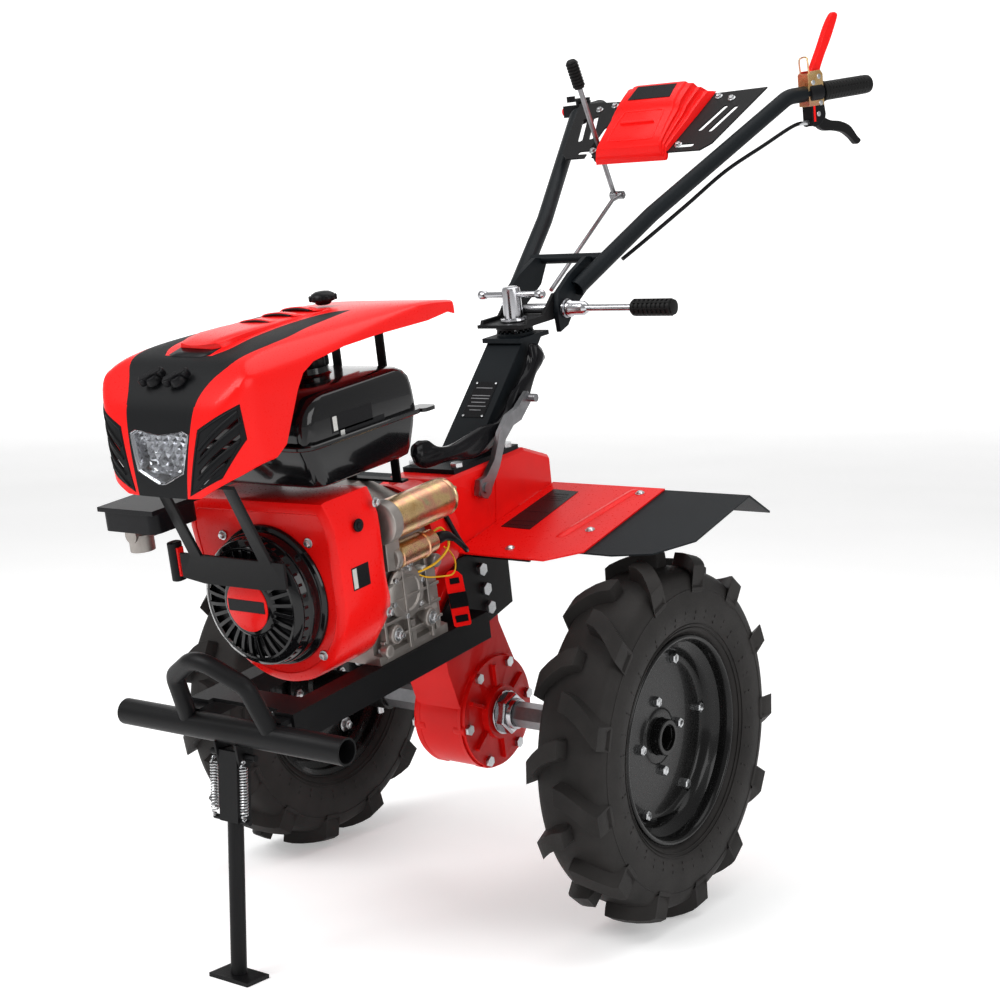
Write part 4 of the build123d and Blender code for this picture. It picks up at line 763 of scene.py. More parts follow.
skin = hood_skin()
zone = prism_of(forward(loop_of([(66, 676)] + smooth_half(PANEL_FRONT[1:]))))
stripe = smooth_half(STRIPE_OUT) + smooth_half(STRIPE_IN)
stripe_zone = stripe + [(-x, y) for x, y in reversed(stripe)]
area = sum(a[0] * b[1] - b[0] * a[1] for a, b in zip(stripe_zone, stripe_zone[1:] + stripe_zone[:1]))
carve(zone, Shape().top(stripe_zone if area > 0 else stripe_zone[::-1], 668, 800), "UNION")
panel = split(copy_of(skin), zone, "INTERSECT")
glass = carve(copy_of(panel), forward(loop_of(inset(LENS, 1.2))), "INTERSECT")
carve(panel, forward(loop_of(LENS)), "DIFFERENCE")
for hand in (1, -1):
    outline = [(hand * x, z) for x, z in GRILLE]
    vent = carve(copy_of(skin), forward(inset(outline, 0.8)), "INTERSECT")
    for low, high in (((78, 606), (136, 654)), ((74, 583), (135, 632)), ((70, 562), (122, 602))):
        bar = [low, high, (high[0], high[1] - 6), (low[0], low[1] - 6)]
        clip = [(hand * (x - 3 if x > 100 else x + 1), z) for x, z in bar]
        carve(vent, forward(clip), "DIFFERENCE")
    become(vent, f"grille_{'left' if hand > 0 else 'right'}", "chassis", "grey_plastic",
           replaces=["side_grilles"], bevel=0.6, smooth=34)
shell = split(skin, zone, "DIFFERENCE")
bpy.data.objects.remove(zone)
for hand in (1, -1):
    carve(shell, forward([(hand * x, z) for x, z in GRILLE]), "DIFFERENCE")
become(shell, "hood_cover", "chassis", "red_plastic", replaces=["hood_shell"], bevel=0.9, smooth=34)
become(panel, "hood_centre", "chassis", "grey_plastic", replaces=["hood_panel"], bevel=0.7, smooth=34)
become(glass, "lamp_glass", "chassis", "clear_lens", replaces=["headlight_lens"], smooth=34)

# slats and the groove's rim of each side grille
slats = Shape()
for hand in (1, -1):
    for low, high in (((76, 612), (131, 660)), ((73, 594), (133, 644)), ((71, 572), (130, 621)),
            ((66, 556), (112, 592))):
        ends = [(hand * (low[0] + (high[0] - low[0]) * k / 8), low[1] + (high[1] - low[1]) * k / 8)
            for k in range(9)]
        slats.tube(hood_front_at(ends, 0.4), 1.8, 8)
    rim_line = [(hand * x, z) for x, z in inset(GRILLE, 5)]
    path = []
    for a, b in zip(rim_line, rim_line[1:] + rim_line[:1]):
        path += [(a[0] + (b[0] - a[0]) * k / 6, a[1] + (b[1] - a[1]) * k / 6) for k in range(6)]
    slats.tube(hood_front_at(path + path[:1], 0.1), 1.1, 8)
slats.make("grille_slats", "chassis", "grey_plastic")

# faceted reflector in a chrome bezel
lamp_shape = Shape()
cols, row_count = 12, 8
grid = []
for j in range(row_count + 1):
    z = 633 - 70 * j / row_count
    half = 52 - 12 * max(0.0, (j - 4) / 4) - 26 * max(0.0, (j - 5) / 3)
    for i in range(cols + 1):
        u = -1 + 2 * i / cols
        pillow = 3.0 * ((i + j) % 2)
        grid.append(Vector((u * half, -588 - 14 * (u * u) - 10 * abs(j / row_count - 0.5) + pillow, z)))
faces = []
for j in range(row_count):
    for i in range(cols):
        a = j * (cols + 1) + i
        centre = sum((grid[k] for k in (a, a + 1, a + cols + 1, a + cols + 2)), Vector()) / 4
        grid.append(centre + Vector((0, 4.5, 0)))
        tip = len(grid) - 1
        loop = (a, a + 1, a + cols + 2, a + cols + 1)
        faces += [(loop[k], tip, loop[(k + 1) % 4]) for k in range(4)]
lamp_shape.add(grid, faces)
lamp_shape.make("lamp_reflector", "chassis", "chrome", replaces=["headlight_reflector"], smooth=5,
    thick=1.0)
bezel = Shape()
outline = loop_of(LENS)
path = []
for a, b in zip(outline, outline[1:] + outline[:1]):
    path += [(a[0] + (b[0] - a[0]) * k / 6, a[1] + (b[1] - a[1]) * k / 6) for k in range(6)]
front_loop = hood_front_at([(x * 0.985, 598 + (z - 598) * 0.985) for x, z in path], -0.6)
back_loop = [Vector((p.x * 0.93, -584, 598 + (p.z - 598) * 0.93)) for p in front_loop]
edge_loop = [Vector((p.x * 0.93, p.y + 5, 598 + (p.z - 598) * 0.93)) for p in front_loop]
bezel.rings([front_loop, edge_loop, back_loop], caps=False)
bezel.make("lamp_bezel", "chassis", "chrome", thick=0.8, smooth=25)

# raised scoop and three humped louvres, with painted shade: a black sheet in the scoop's mouth and black rods
# in the louvre slots
SCOOP = [(-524, 41, 8.5), (-514, 44, 9.0), (-498, 47, 9.0), (-470, 49, 8.0), (-430, 47, 6.5),
    (-390, 42, 5.0), (-350, 38, 4.0), (-310, 36, 3.0), (-270, 34, 1.0)]
scoop = Shape()
loops = []
for k, (y, half, lift) in enumerate(SCOOP):
    spread = [-1, -0.93, -0.8, -0.5, -0.2, 0.2, 0.5, 0.8, 0.93, 1]
    bow = 14.0 if k == 0 else 9.0 if k == 1 else 4.0 if k == 2 else 0.0
    spots = [(u * half, y + bow * u * u) for u in spread]
    tops = hood_top_at(spots)
    heights = [0.0, 0.72, 1, 1, 1, 1, 1, 1, 0.72, 0.0]
    upper = [p + Vector((0, 0, lift * h - 0.6 * (h == 0))) for p, h in zip(tops, heights)]
    lower = [p + Vector((0, 0, -1.6)) for p in tops]
    loops.append(upper + lower[::-1])
scoop.rings(loops)
for y in (-388, -340, -298):
    spots = [(-34 + 68 * k / 16, y) for k in range(17)]
    base = hood_top_at(spots)
    humps = []
    for k, p in enumerate(base):
        rise = sin(pi * k / 16) ** 0.5
        humps.append([p + Vector((0, 13, 2.0)), p + Vector((0, 4, 4.0 + 4.6 * rise)),
            p + Vector((0, -8, 4.4 + 5.4 * rise)),
                      p + Vector((0, -9, 4.0 + 3.6 * rise)), p + Vector((0, 9, 0.5))])
    scoop.rings(humps)
scoop.make("hood_scoop", "chassis", "red_plastic", bevel=0.9, smooth=45, segments=3)
# painted shade: a thin black sheet laid on the hood under the scoop's lip, where the mouth is in shadow
mouth_shade_sheet = Shape()
spots = [(u, y) for y in (-541, -508) for u in (-40, -28, -14, 0, 14, 28, 40)]
top = hood_top_at([(x, y + (6 if abs(x) > 30 and y < -530 else 0)) for x, y in spots], 0.5)
mouth_shade_sheet.add(top, [(i, i + 1, i + 8, i + 7) for i in range(6)])
# painted shade: a black rod along the front of each louvre hump, where its slot is in shadow
slot_shade_rods = Shape()
for y in (-388, -340, -298):
    ends = hood_top_at([(-26 + 52 * k / 8, y - 9.6) for k in range(9)])
    slot_shade_rods.tube([p + Vector((0, 0, 5.0 + 2.2 * sin(pi * k / 8))) for k, p in enumerate(ends)], 1.7, 8)
mouth_shade_sheet.make("scoop_mouth_painted_shade", "chassis", "black_plastic", thick=0.6)
slot_shade_rods.make("louvre_slots_painted_shade", "chassis", "black_plastic")

# winged knobs on the centre panel, and the mushroom knob on top
knob_axis = Vector((0, -0.62, 0.785))
for hand, word in ((1, "left"), (-1, "right")):
    knob = Shape()
    base = Vector((hand * 24, -582, 698))
    u, v, w = basis(knob_axis)
    tilt = radians(35)
    wing = (u * cos(tilt) + v * sin(tilt), v * cos(tilt) - u * sin(tilt))
    knob.lathe(base, w, [(-6, 9), (0, 10), (2, 12.5), (8, 11.5), (12, 9.5), (13, 8)], 32)
    knob.box(base + w * 10, (34, 8, 13), (wing[0], wing[1], w))
    for end in (1, -1):
        knob.rod(base + wing[0] * end * 14.5 + w * 3, base + wing[0] * end * 14.5 + w * 15, 6.2, 18, 2)
    knob.disc(base + w * 15.8, w, 4.2, 1.2, 0.5, 20)
    knob.make(f"hood_wing_{word}", f"{word}_knob", "black_plastic", replaces=[f"hood_knob_{word}"],
        bevel=1.6, segments=3)
cap = Shape()
cap.lathe((0, -245, 746.5), (0, 0, 1), [(0, 9), (2, 12), (4, 13), (6, 18), (9, 20.5), (13, 20), (17, 17),
    (20, 11), (21, 4)], 48)
for turn in ring(12):
    cap.disc((19.6 * cos(turn), -245 + 19.6 * sin(turn), 753), (0, 0, 1), 2.6, 8, 1, 12)
cap.make("top_knob_cap", "hood_knob", "black_plastic", replaces=["top_knob"])


# ---------------------------------------------------------------- fuel tank
def rounded(width, depth, radius, cx=0.0, cy=0.0, steps=6):
    """A rounded rectangle as (x, y) points."""
    out = []
    for sx, sy, start in ((1, 1, 0), (-1, 1, 90), (-1, -1, 180), (1, -1, 270)):
        out += arc(cx + sx * (width / 2 - radius), cy + sy * (depth / 2 - radius), radius, start,
            start + 90, steps)
    return out


TANK_X, TANK_Y = -14.0, -324.0


def tank_loop(width, depth, radius, z, dy=0.0):
    return [Vector((x, y, z)) for x, y in rounded(width, depth, radius, TANK_X, TANK_Y + dy)]


def crown(z, front, rear, width, radius):
    """A level loop of the tank's upper half between two y positions."""
    return [Vector((x, y, z)) for x, y in rounded(width, rear - front, radius, TANK_X,
        (front + rear) / 2)]


tank = Shape()
lower = [tank_loop(236, 204, 22, 508, 6), tank_loop(252, 220, 24, 512, 6),
    tank_loop(258, 228, 24, 522, 5),
         tank_loop(266, 246, 22, 552, 2), tank_loop(270, 258, 22, 572), tank_loop(270, 258, 22, 574)]
upper = [crown(578, -455, -193, 272, 20), crown(604, -455, -194, 272, 22),
    crown(618, -452, -195, 272, 24),
         crown(630, -444, -197, 270, 26), crown(640, -435, -203, 264, 28),
             crown(646, -424, -212, 252, 30),
         crown(649, -404, -232, 226, 30), crown(650, -370, -260, 180, 26)]
tank.rings(lower + upper)
flange = [tank_loop(w, d, 24, z) for w, d, z in ((272, 262, 571.5), (283, 275, 571.5), (286, 278, 573),
    (286, 278, 577), (283, 275, 578.6), (272, 262, 578.6))]
tank.rings(flange, closed=True)
tank.rings([[Vector((x, y, z)) for x, y in rounded(34, 30, 8, 118, -184)] for z in (572, 578)])
tank.lathe((0, -300, 646), (0, 0, 1), [(0, 42), (3, 38), (7, 33), (15.5, 32), (15.8, 25), (0, 24)], 48,
    closed=True)
tank.make("tank_shell", "chassis", "tank_black", replaces=["fuel_tank"], smooth=32)
top_cap = Shape()
skirt = []
for up, grow in ((662.4, -1.0), (664, 0), (675, 0), (678, -2.5), (679, -7)):
    skirt.append([Vector(((33 + grow + 1.4 * cos(12 * a)) * cos(a),
        -300 + (33 + grow + 1.4 * cos(12 * a)) * sin(a), up)) for a in ring(96)])
skirt.append([Vector((14 * cos(a), -300 + 14 * sin(a), 680)) for a in ring(96)])
top_cap.rings(skirt)
top_cap.disc((0, -300, 679.5), (0, 0, 1), 9, 1.5, 0.6)
top_cap.make("tank_cap", "fuel_cap", "black_plastic", replaces=["fuel_cap"])
labels = Shape()
marks = Shape()
for y0, z0, w, h in ((-352, 598, 92, 26), (-332, 582, 104, 12)):
    x = TANK_X + 136.0
    labels.box((x + 0.15, y0, z0), (w, h, 0.5), (Vector((0, 1, 0)), Vector((0, 0, 1)), Vector((1, 0, 0))))
    marks.box((x + 0.45, y0 - w / 2 + 8, z0), (9, h - 5, 0.4),
        (Vector((0, 1, 0)), Vector((0, 0, 1)), Vector((1, 0, 0))))
labels.make("tank_labels", "chassis", "tank_black", "label_black", bevel=0.15)
marks.make("tank_label_marks", "chassis", "tank_black", "label_white")


# ---------------------------------------------------------------- engine


def shroud_loop(y, grow, wave=0.0):
    """Outline of the fan shroud, round below and squared above."""
    r = 140 + grow
    low = arc(0, 345, r, 182, 358, 40)
    top = [(r, 360), (r, 430), (r - 3, 452), (r - 12, 472), (118 + grow * 0.5, 491 + grow),
        (-130, 488 + grow),
           (-146 - grow * 0.7, 480 + grow * 0.7), (-156 - grow, 462), (-158 - grow, 440),
               (-150 - grow, 390), (-141 - grow, 355)]
    count = len(low + top)
    return [Vector((x, y + wave * sin(6 * 2 * pi * k / count), z)) for k, (x, z) in enumerate(low + top)]


shroud = Shape()
shroud.rings([
    shroud_loop(-336, -3, 4), shroud_loop(-340, 0, 4), shroud_loop(-352, 0, 1.5), shroud_loop(-430, 0),
        shroud_loop(-437, -2),
    shroud_loop(-441, -8), shroud_loop(-442, -16), shroud_loop(-438, -20), shroud_loop(-432, -9),
        shroud_loop(-360, -4), shroud_loop(-340, -6, 4),
], closed=True)
shroud.make("shroud_cover", "chassis", "red_paint", replaces=["fan_shroud"], smooth=38)
face = Shape()
front_rim = shroud_loop(-440.5, -15)
hole = []
for p in front_rim:
    turn = (p - Vector((0, -440.5, 345))).normalized()
    hole.append(Vector((0, -440.5, 345)) + turn * 104)
face.rings([front_rim, hole, [p + Vector((0, 3, 0)) for p in hole],
    [p + Vector((0, 3, 0)) for p in front_rim]], closed=True)
face.make("shroud_face", "chassis", "red_paint")
trim = Shape()
trim.disc((141, -392, 448), (1, 0, 0), 10, 4, 1.5)
trim.disc((143, -392, 448), (1, 0, 0), 6, 4, 1.5)
trim.make("shroud_plug", "chassis", "red_paint", "black_plastic")
label = Shape()
for z, h, y, w in ((372, 34, -398, 38),):
    label.box((140.3, y, z), (w, h, 0.6), (Vector((0, 1, 0)), Vector((0, 0, 1)), Vector((1, 0, 0))))
label.make("shroud_label", "chassis", "red_paint", "label_black")
label = Shape()
label.box((140.7, -411, 372), (9, 30, 0.4), (Vector((0, 1, 0)), Vector((0, 0, 1)), Vector((1, 0, 0))))
label.make("shroud_label_mark", "chassis", "red_paint", "label_white")
pins = Shape()
for y, z in ((-346, 470), (-346, 300)):
    pins.bolt((140, y, z), (1, 0, 0), 9, 5)
for turn in ring(4, 45):
    pins.bolt((122 * cos(turn), -441, 345 + 122 * sin(turn)), (0, -1, 0), 9, 5)
pins.make("shroud_bolts", "chassis", "zinc", bevel=0.3)

# recoil starter: a dome of radial bars over a band of slots
recoil = Shape()
recoil.lathe((0, -440, 345), (0, -1, 0), [
    (0, 101), (0, 108), (3, 109), (7, 107.5), (9, 101.5), (22, 100), (23.5, 101.5), (26.5, 101),
        (28, 98.5), (38, 95), (41, 96.5),
    (45, 94), (50, 86), (50, 82), (44, 88), (38, 90), (26, 95), (9, 97),
], 96, closed=True)
for turn in ring(36):
    out = Vector((cos(turn), 0, sin(turn)))
    across = Vector((0, -1, 0)).cross(out)
    for low, high, radius in ((8, 24, 98.5), (27, 40, 95.5)):
        recoil.box(Vector((0, -440 - (low + high) / 2, 345)) + out * radius, (4.6, high - low, 3.6),
            (across, Vector((0, -1, 0)), across.cross(Vector((0, -1, 0)))))
for turn in ring(28, 4):
    out = Vector((cos(turn), 0, sin(turn)))
    across = Vector((0, -1, 0)).cross(out).normalized()
    lean = (out + across * 0.22).normalized()
    side_dir = lean.cross(Vector((0, -1, 0))).normalized()
    inner, outer = Vector((0, -494, 345)) + out * 46, Vector((0, -489, 345)) + out * 88
    recoil.rings([[q - side_dir * 3.0, q + side_dir * 3.0, q + side_dir * 3.0 + Vector((0, 6, 0)),
        q - side_dir * 3.0 + Vector((0, 6, 0))] for q in (inner,
        (inner + outer) / 2 + Vector((0, -1.4, 0)), outer)])
recoil.lathe((0, -440, 345), (0, -1, 0), [(47, 50), (50.5, 52), (54, 48), (55.5, 43), (56, 20), (56.3, 0),
    (50, 0), (48, 44)], 64)
recoil.make("recoil_cover", "chassis", "black_plastic", "gloss_black", ["recoil_housing"], bevel=0.6,
    smooth=42)
core = Shape()
core.lathe((0, -440, 345), (0, -1, 0), [(2, 94), (12, 94), (24, 90), (40, 84), (43, 40), (43, 0)], 64)
core.make("recoil_core", "chassis", "black_plastic")
badge = Shape()
badge.lathe((0, -495.6, 345), (0, -1, 0), [(0, 40), (1.6, 40), (2.4, 38.6), (2.6, 0)], 64)
badge.make("recoil_badge", "chassis", "red_plastic", smooth=30)
band = Shape()
band.box((0, -498.5, 345), (72, 18, 0.8), (Vector((1, 0, 0)), Vector((0, 0, 1)), Vector((0, -1, 0))))
band.make("recoil_badge_band", "chassis", "black_plastic", "label_black")

# pull handle: black grip with a red inner side, on its steel guide
HANDLE = Vector((-124, -506, 407))
grip = Shape()
grip.rings([[HANDLE + Vector((x * 0.9, y, z)) for x, y in rounded(20, 22, 8, 0, 0)]
    for z in (-30, -24, 24, 30)])
grip.make("starter_grip", "pull_grip", "black_plastic", replaces=["pull_handle"], bevel=2.0, segments=3)
inner_side = Shape()
inner_side.rings([[HANDLE + Vector((10 + x, y, z)) for x, y in rounded(4, 13, 1.5, 0, 0)]
    for z in (-22, 22)])
inner_side.make("starter_grip_inlay", "pull_grip", "black_plastic", "red_plastic", bevel=0.5)

# starter motor, its solenoid, boot and wires
motor = Shape()
motor.lathe((118, -322, 428), (0, 1, 0), [(22, 25), (23, 31), (150, 31), (152, 29.5), (157, 29),
    (160, 30.5), (163, 30), (168, 25), (170, 11), (177, 9), (178, 0)], 64)
for a in (0.6, 3.7):
    motor.bolt(Vector((118 + 22 * cos(a), -153, 428 + 22 * sin(a))), (0, 1, 0), 6, 4, washer=False)
motor.lathe((112, -286, 366), (0, 1, 0), [(0, 17), (2, 20), (62, 20), (64, 21.5), (67, 21.5), (69, 19),
    (90, 18.5), (92, 15), (92, 0)], 48)
motor.make("starter_body", "chassis", "starter_zinc", replaces=["starter_motor"], smooth=35)
nose = Shape()
nose.lathe((118, -324, 428), (0, 1, 0), [(0, 22), (1, 29), (4, 33.5), (22, 34), (25, 32), (27, 31)], 64)
nose.side([(-318, 352), (-286, 350), (-283, 420), (-316, 424)], 90, 124)
nose.disc((112, -300, 366), (0, 1, 0), 19, 14, 2)
nose.make("starter_nose", "chassis", "starter_zinc", "cast_aluminium", bevel=1.6)
boot = Shape()
boot.tube(curve([(120, -190, 368), (124, -172, 368), (128, -158, 360)], 4),
    [9, 9.5, 9, 8.5, 8, 7.5, 7, 6, 5], 16)
boot.tube(curve([(128, -160, 362), (134, -140, 340), (118, -118, 330), (96, -112, 352), (60, -112, 420)],
    6), 4.2, 12)
boot.make("starter_boot", "chassis", "black_plastic")
wires = Shape()
wires.tube(curve([(104, -190, 372), (112, -166, 378), (126, -170, 352), (118, -200, 330), (92, -240, 318),
    (80, -262, 306)], 6), 2.0, 10)
wires.make("starter_wire", "chassis", "black_plastic", "yellow_wire")
plug = Shape()
plug.box((100, -215, 326), (16, 10, 9))
plug.make("wire_connector", "chassis", "black_plastic", "label_white", bevel=1.2)

# crankcase: cast ribs, bosses and studs in front of the softened casting
ribs = Shape()
for z in (236, 262, 290, 318):
    ribs.side([(-326, z), (-178, z), (-178, z + 5), (-326, z + 5)], 96, 104)
for y in (-318, -262, -206):
    ribs.side([(y - 3, 212), (y + 3, 212), (y + 3, 340), (y - 3, 340)], 96, 105)
for y, z, r in ((-300, 246, 15), (-214, 246, 15), (-184, 330, 11), (-262, 350, 13), (-322, 226, 10)):
    ribs.disc((97, y, z), (1, 0, 0), r, 15, 2.5)
ribs.lathe((97, -256, 300), (1, 0, 0), [(0, 44), (4, 43), (7, 38), (7.5, 30), (5, 28), (5, 0)], 48)
ribs.make("case_ribs", "chassis", "cast_aluminium", bevel=1.4, segments=3)
studs = Shape()
for y, z in ((-300, 246), (-214, 246), (-262, 350)):
    studs.nut_end((112, y, z), (1, 0, 0), 12, 4, 12)
for turn in ring(6, 15):
    studs.bolt((103, -256 + 37 * cos(turn), 300 + 37 * sin(turn)), (1, 0, 0), 8, 5, washer=False)
for y in (-318, -190):
    studs.bolt((84, y, 218), (0, 0, 1), 13, 8)
studs.make("case_studs", "chassis", "zinc", bevel=0.3)


# ---------------------------------------------------------------- steering column
sleeve = Shape()
route = curve([(30, -112, 486), (44, -70, 469), (49, 20, 464), (50, 100, 478), (51, 165, 516),
    (51, 210, 560), (50, 236, 588)], 22)
sections = []
for k, point in enumerate(route):
    ahead = (route[min(k + 1, len(route) - 1)] - route[max(k - 1, 0)]).normalized()
    flat = ahead.cross(Vector((1, 0, 0))).normalized()
    close = min(1.0, 0.62 + 0.09 * min(k, len(route) - 1 - k))
    row = []
    for turn in ring(36):
        fold = (1 + 0.10 * sin(3 * turn + 0.11 * k) * sin(0.17 * k + turn)
                + 0.09 * sin(2 * turn - 0.16 * k) + 0.035 * sin(6 * turn + 0.24 * k))
        row.append(point + (Vector((cos(turn) * 10.0, 0,
            0)) + flat * sin(turn) * (17.5 + 3.5 * sin(0.16 * k))) * fold * close)
    sections.append(row)
sleeve.rings(sections)
sleeve.make("crinkled_sleeve", "chassis", "black_plastic", "sheath", ["cable_sleeve"], smooth=180)
plate = Shape()
slope_y, slope_z = Vector((0, 182, 168)).normalized(), Vector((0, -168, 182)).normalized()
centre = Vector((0, 118, 519)) + slope_z * 0.8
plate.box(centre, (46, 74, 1.0), (Vector((1, 0, 0)), slope_y, slope_z))
plate.make("name_plate", "chassis", "black_plastic", "label_black", bevel=0.3)
rivets = Shape()
for x in (-20, 20):
    for along in (-34, 34):
        rivets.disc(centre + Vector((x, 0, 0)) + slope_y * along, slope_z, 2.2, 1.6, 0.7, 14)
rivets.make("name_plate_rivets", "chassis", "zinc")
lines = Shape()
for along, w in ((24, 34), (8, 38), (2, 38), (-6, 30), (-14, 38), (-22, 24)):
    lines.box(centre + slope_y * along + slope_z * 0.6, (w, 1.6, 0.25),
        (Vector((1, 0, 0)), slope_y, slope_z))
lines.make("name_plate_rules", "chassis", "zinc", "steel")

nut = Shape()
nut.rod((0, 242, 592), (0, 242, 636), 11.9, 24)
nut.disc((0, 242, 586), (0, 0, 1), 19, 8, 1, 6)
nut.lathe((0, 242, 634), (0, 0, 1), [(0, 23), (2, 24), (5, 23), (6, 17), (52, 16.5), (58, 15.5),
    (60, 13)], 40)
nut.rod((-58, 242, 680), (58, 242, 680), 5.4, 20)
for hand in (1, -1):
    nut.lathe((hand * 52, 242, 680), (hand, 0, 0), [(0, 5.4), (3, 7.6), (10, 8.2), (15, 7.8), (18, 5)],
        24)
nut.make("swivel_t_nut", "swivel_nut", "chrome", replaces=["swivel_nut"])

PIVOT = Vector((0, 315, 643))
clamp = Shape()
clamp.rod(PIVOT + Vector((-64, 0, 0)), PIVOT + Vector((62, 0, 0)), 8.9, 24)
clamp.lathe(PIVOT + Vector((61, 0, 0)), (1, 0, 0), [(0, 17), (4.6, 17), (4.7, 14.5), (8, 15.5),
    (14, 15.5), (17, 13), (40, 12.5), (45, 9.5), (48, 6.2), (142, 6.2), (142, 0)], 40)
clamp.bolt(PIVOT + Vector((-62, 0, 0)), (-1, 0, 0), 24, 9)
clamp.make("pivot_bar", "clamp_handle", "chrome", replaces=["clamp_handle"])
knurl = Shape()
profile = [(0, 9), (1, 12)]
for k in range(9):
    profile += [(3 + 8.8 * k, 12.2), (4.2 + 8.8 * k, 14.6), (8.2 + 8.8 * k, 14.6), (9.4 + 8.8 * k, 12.2)]
profile += [(83, 13), (84, 9)]
knurl.lathe(PIVOT + Vector((200, 0, 0)), (1, 0, 0), profile, 32)
for turn in ring(8):
    out = Vector((0, cos(turn), sin(turn)))
    knurl.box(PIVOT + Vector((242, 0, 0)) + out * 14.2, (74, 2.4, 1.6),
        (Vector((1, 0, 0)), Vector((1, 0, 0)).cross(out) * -1,
        Vector((1, 0, 0)).cross(Vector((1, 0, 0)).cross(out) * -1)))
knurl.make("pivot_grip", "clamp_handle", "grip_rubber", replaces=[], smooth=30)


# ---------------------------------------------------------------- handlebars, grips and levers
GRIP_DIR = Vector((sin(radians(19)), cos(radians(19)), 0.02)).normalized()
ACROSS = Vector((cos(radians(19)), -sin(radians(19)), 0))
CLAMP = Vector((262, 935, 953))


grips = Shape()
profile = [(24, 15.6), (24, 18.6), (26, 20.4), (30, 20.4), (32, 17.4)]
for k in range(13):
    profile += [(35 + 8.4 * k, 17.2), (36.2 + 8.4 * k, 18.2), (41.4 + 8.4 * k, 18.2),
        (42.6 + 8.4 * k, 17.2)]
profile += [(148, 18.3), (155, 17.6), (159, 14), (160, 6), (160, 0.1), (154, 0.1), (154, 15.4)]
grips.lathe(CLAMP, GRIP_DIR, profile, 40, closed=True)
for turn in ring(12):
    u, v, w = basis(GRIP_DIR)
    out = u * cos(turn) + v * sin(turn)
    grips.box(CLAMP + GRIP_DIR * 90 + out * 17.6, (104, 4.4, 1.2),
        (GRIP_DIR, out.cross(GRIP_DIR), GRIP_DIR.cross(out.cross(GRIP_DIR))))
grips.both()
grips.make("ribbed_grips", "handlebars", "grip_rubber", replaces=["hand_grips"], smooth=35)


def on_grip(s, h, a=0.0):
    """A point beside the left grip: along it, up and across from the lever clamp."""
    return CLAMP + GRIP_DIR * s + Vector((0, 0, h)) + ACROSS * a


def grip_blade(outline, offset, thick):
    low = [on_grip(s, h, offset - thick / 2) for s, h in outline]
    high = [on_grip(s, h, offset + thick / 2) for s, h in outline]
    area = sum(a[0] * b[1] - b[0] * a[1] for a, b in zip(outline, outline[1:] + outline[:1]))
    return Shape().rings([low[::-1], high[::-1]] if area > 0 else [low, high])


def flowing(points, per=5):
    """A smooth closed outline."""
    pts = points[-2:] + points + points[:2]
    path = curve([(x, y, 0) for x, y in pts], per)
    return [(p.x, p.y) for p in path[2 * per:-2 * per]]


lever = grip_blade(flowing([
    (0, -34), (14, -33), (26, -48), (44, -57), (70, -62), (96, -74), (114, -95), (124, -106), (112, -112),
        (98, -99), (78, -85),
    (52, -78), (24, -74), (6, -60),
]), 0, 12)
lever.make("clutch_lever_blade", "clutch_lever", "black_coat", replaces=["clutch_lever"], bevel=2.4,
    segments=3)
safety = grip_blade(flowing([(0, 26), (16, 26), (24, 44), (38, 68), (58, 98), (78, 134), (77, 143),
    (66, 144), (48, 124), (24, 84), (4, 52), (-2, 38)]), 0, 12)
safety.make("safety_lever_blade", "safety_lever", "red_plastic", replaces=["safety_lever"], bevel=2.6,
    segments=3)
holder = Shape()
holder.lathe(CLAMP - GRIP_DIR * 16, GRIP_DIR, [(0, 17), (0, 20), (34, 20), (34, 17)], 32)
for a in (-11, 11):
    part = grip_blade([(-14, -14), (-14, -60), (-8, -64), (6, -62), (22, -50), (24, -42), (20, -14)], a,
        4)
    holder.add(part.verts, part.faces)
part = grip_blade([(-14, -14), (-14, -62), (-4, -62), (-4, -14)], 0, 25)
holder.add(part.verts, part.faces)
holder.make("lever_body", "handlebars", "black_coat", "black_plastic", ["lever_clamp"], bevel=1.4)
strip = grip_blade([(-10, -22), (-10, -54), (-5, -54), (-5, -22)], 13.2, 1.2)
strip.make("lever_strip", "handlebars", "red_plastic")
hardware = Shape()
for s, h in ((2, -40), (8, 30), (10, -20), (-8, 20)):
    hardware.disc(on_grip(s, h, 13), ACROSS, 5.2, 3.0, 1.2, 20)
    hardware.disc(on_grip(s, h, -16), ACROSS, 5.2, 3.0, 1.2, 20)
    hardware.rod(on_grip(s, h, -14), on_grip(s, h, 14), 3.6, 16)
hardware.tube([on_grip(-46, -54), on_grip(-30, -54), on_grip(-12, -54)], [3.4, 4.6, 5.4], 6)
hardware.make("lever_hardware", "handlebars", "zinc")
gold = Shape()
for a in (-13, 13):
    part = grip_blade([(-20, -24), (-20, 36), (-12, 42), (14, 42), (20, 34), (20, -24)], a, 2.2)
    gold.add(part.verts, part.faces)
part = grip_blade([(-20, -24), (-20, 38), (-17.8, 38), (-17.8, -24)], 0, 26)
gold.add(part.verts, part.faces)
gold.tube(curve([on_grip(-14, 34, -11), on_grip(-16, 62, -11), on_grip(-14, 68, -6), on_grip(-14, 68, 6),
    on_grip(-16, 62, 11), on_grip(-14, 34, 11)], 5), 1.8, 10)
gold.make("safety_bracket", "handlebars", "black_coat", "starter_zinc", bevel=0.5)

cable = Shape()
start = on_grip(-14, -54)
cable.tube(curve([start, start - GRIP_DIR * 40 + Vector((0, 0, -2)), Vector((218, 806, 868)),
    Vector((182, 716, 832)), Vector((148, 622, 783)), Vector((112, 532, 735)), Vector((92, 470, 706))],
    10), 3.8, 12)
cable.make("clutch_cable", "handlebars", "black_plastic", "sheath", ["control_cable"])


# ---------------------------------------------------------------- dash cover
slope = radians(30.3)
DASH_S, DASH_N = Vector((0, cos(slope), sin(slope))), Vector((0, -sin(slope), cos(slope)))
DASH_0 = Vector((0, 680, 874))


def on_dash(x, s, h):
    return Vector((x, 0, 0)) + DASH_0 + DASH_S * s + DASH_N * h


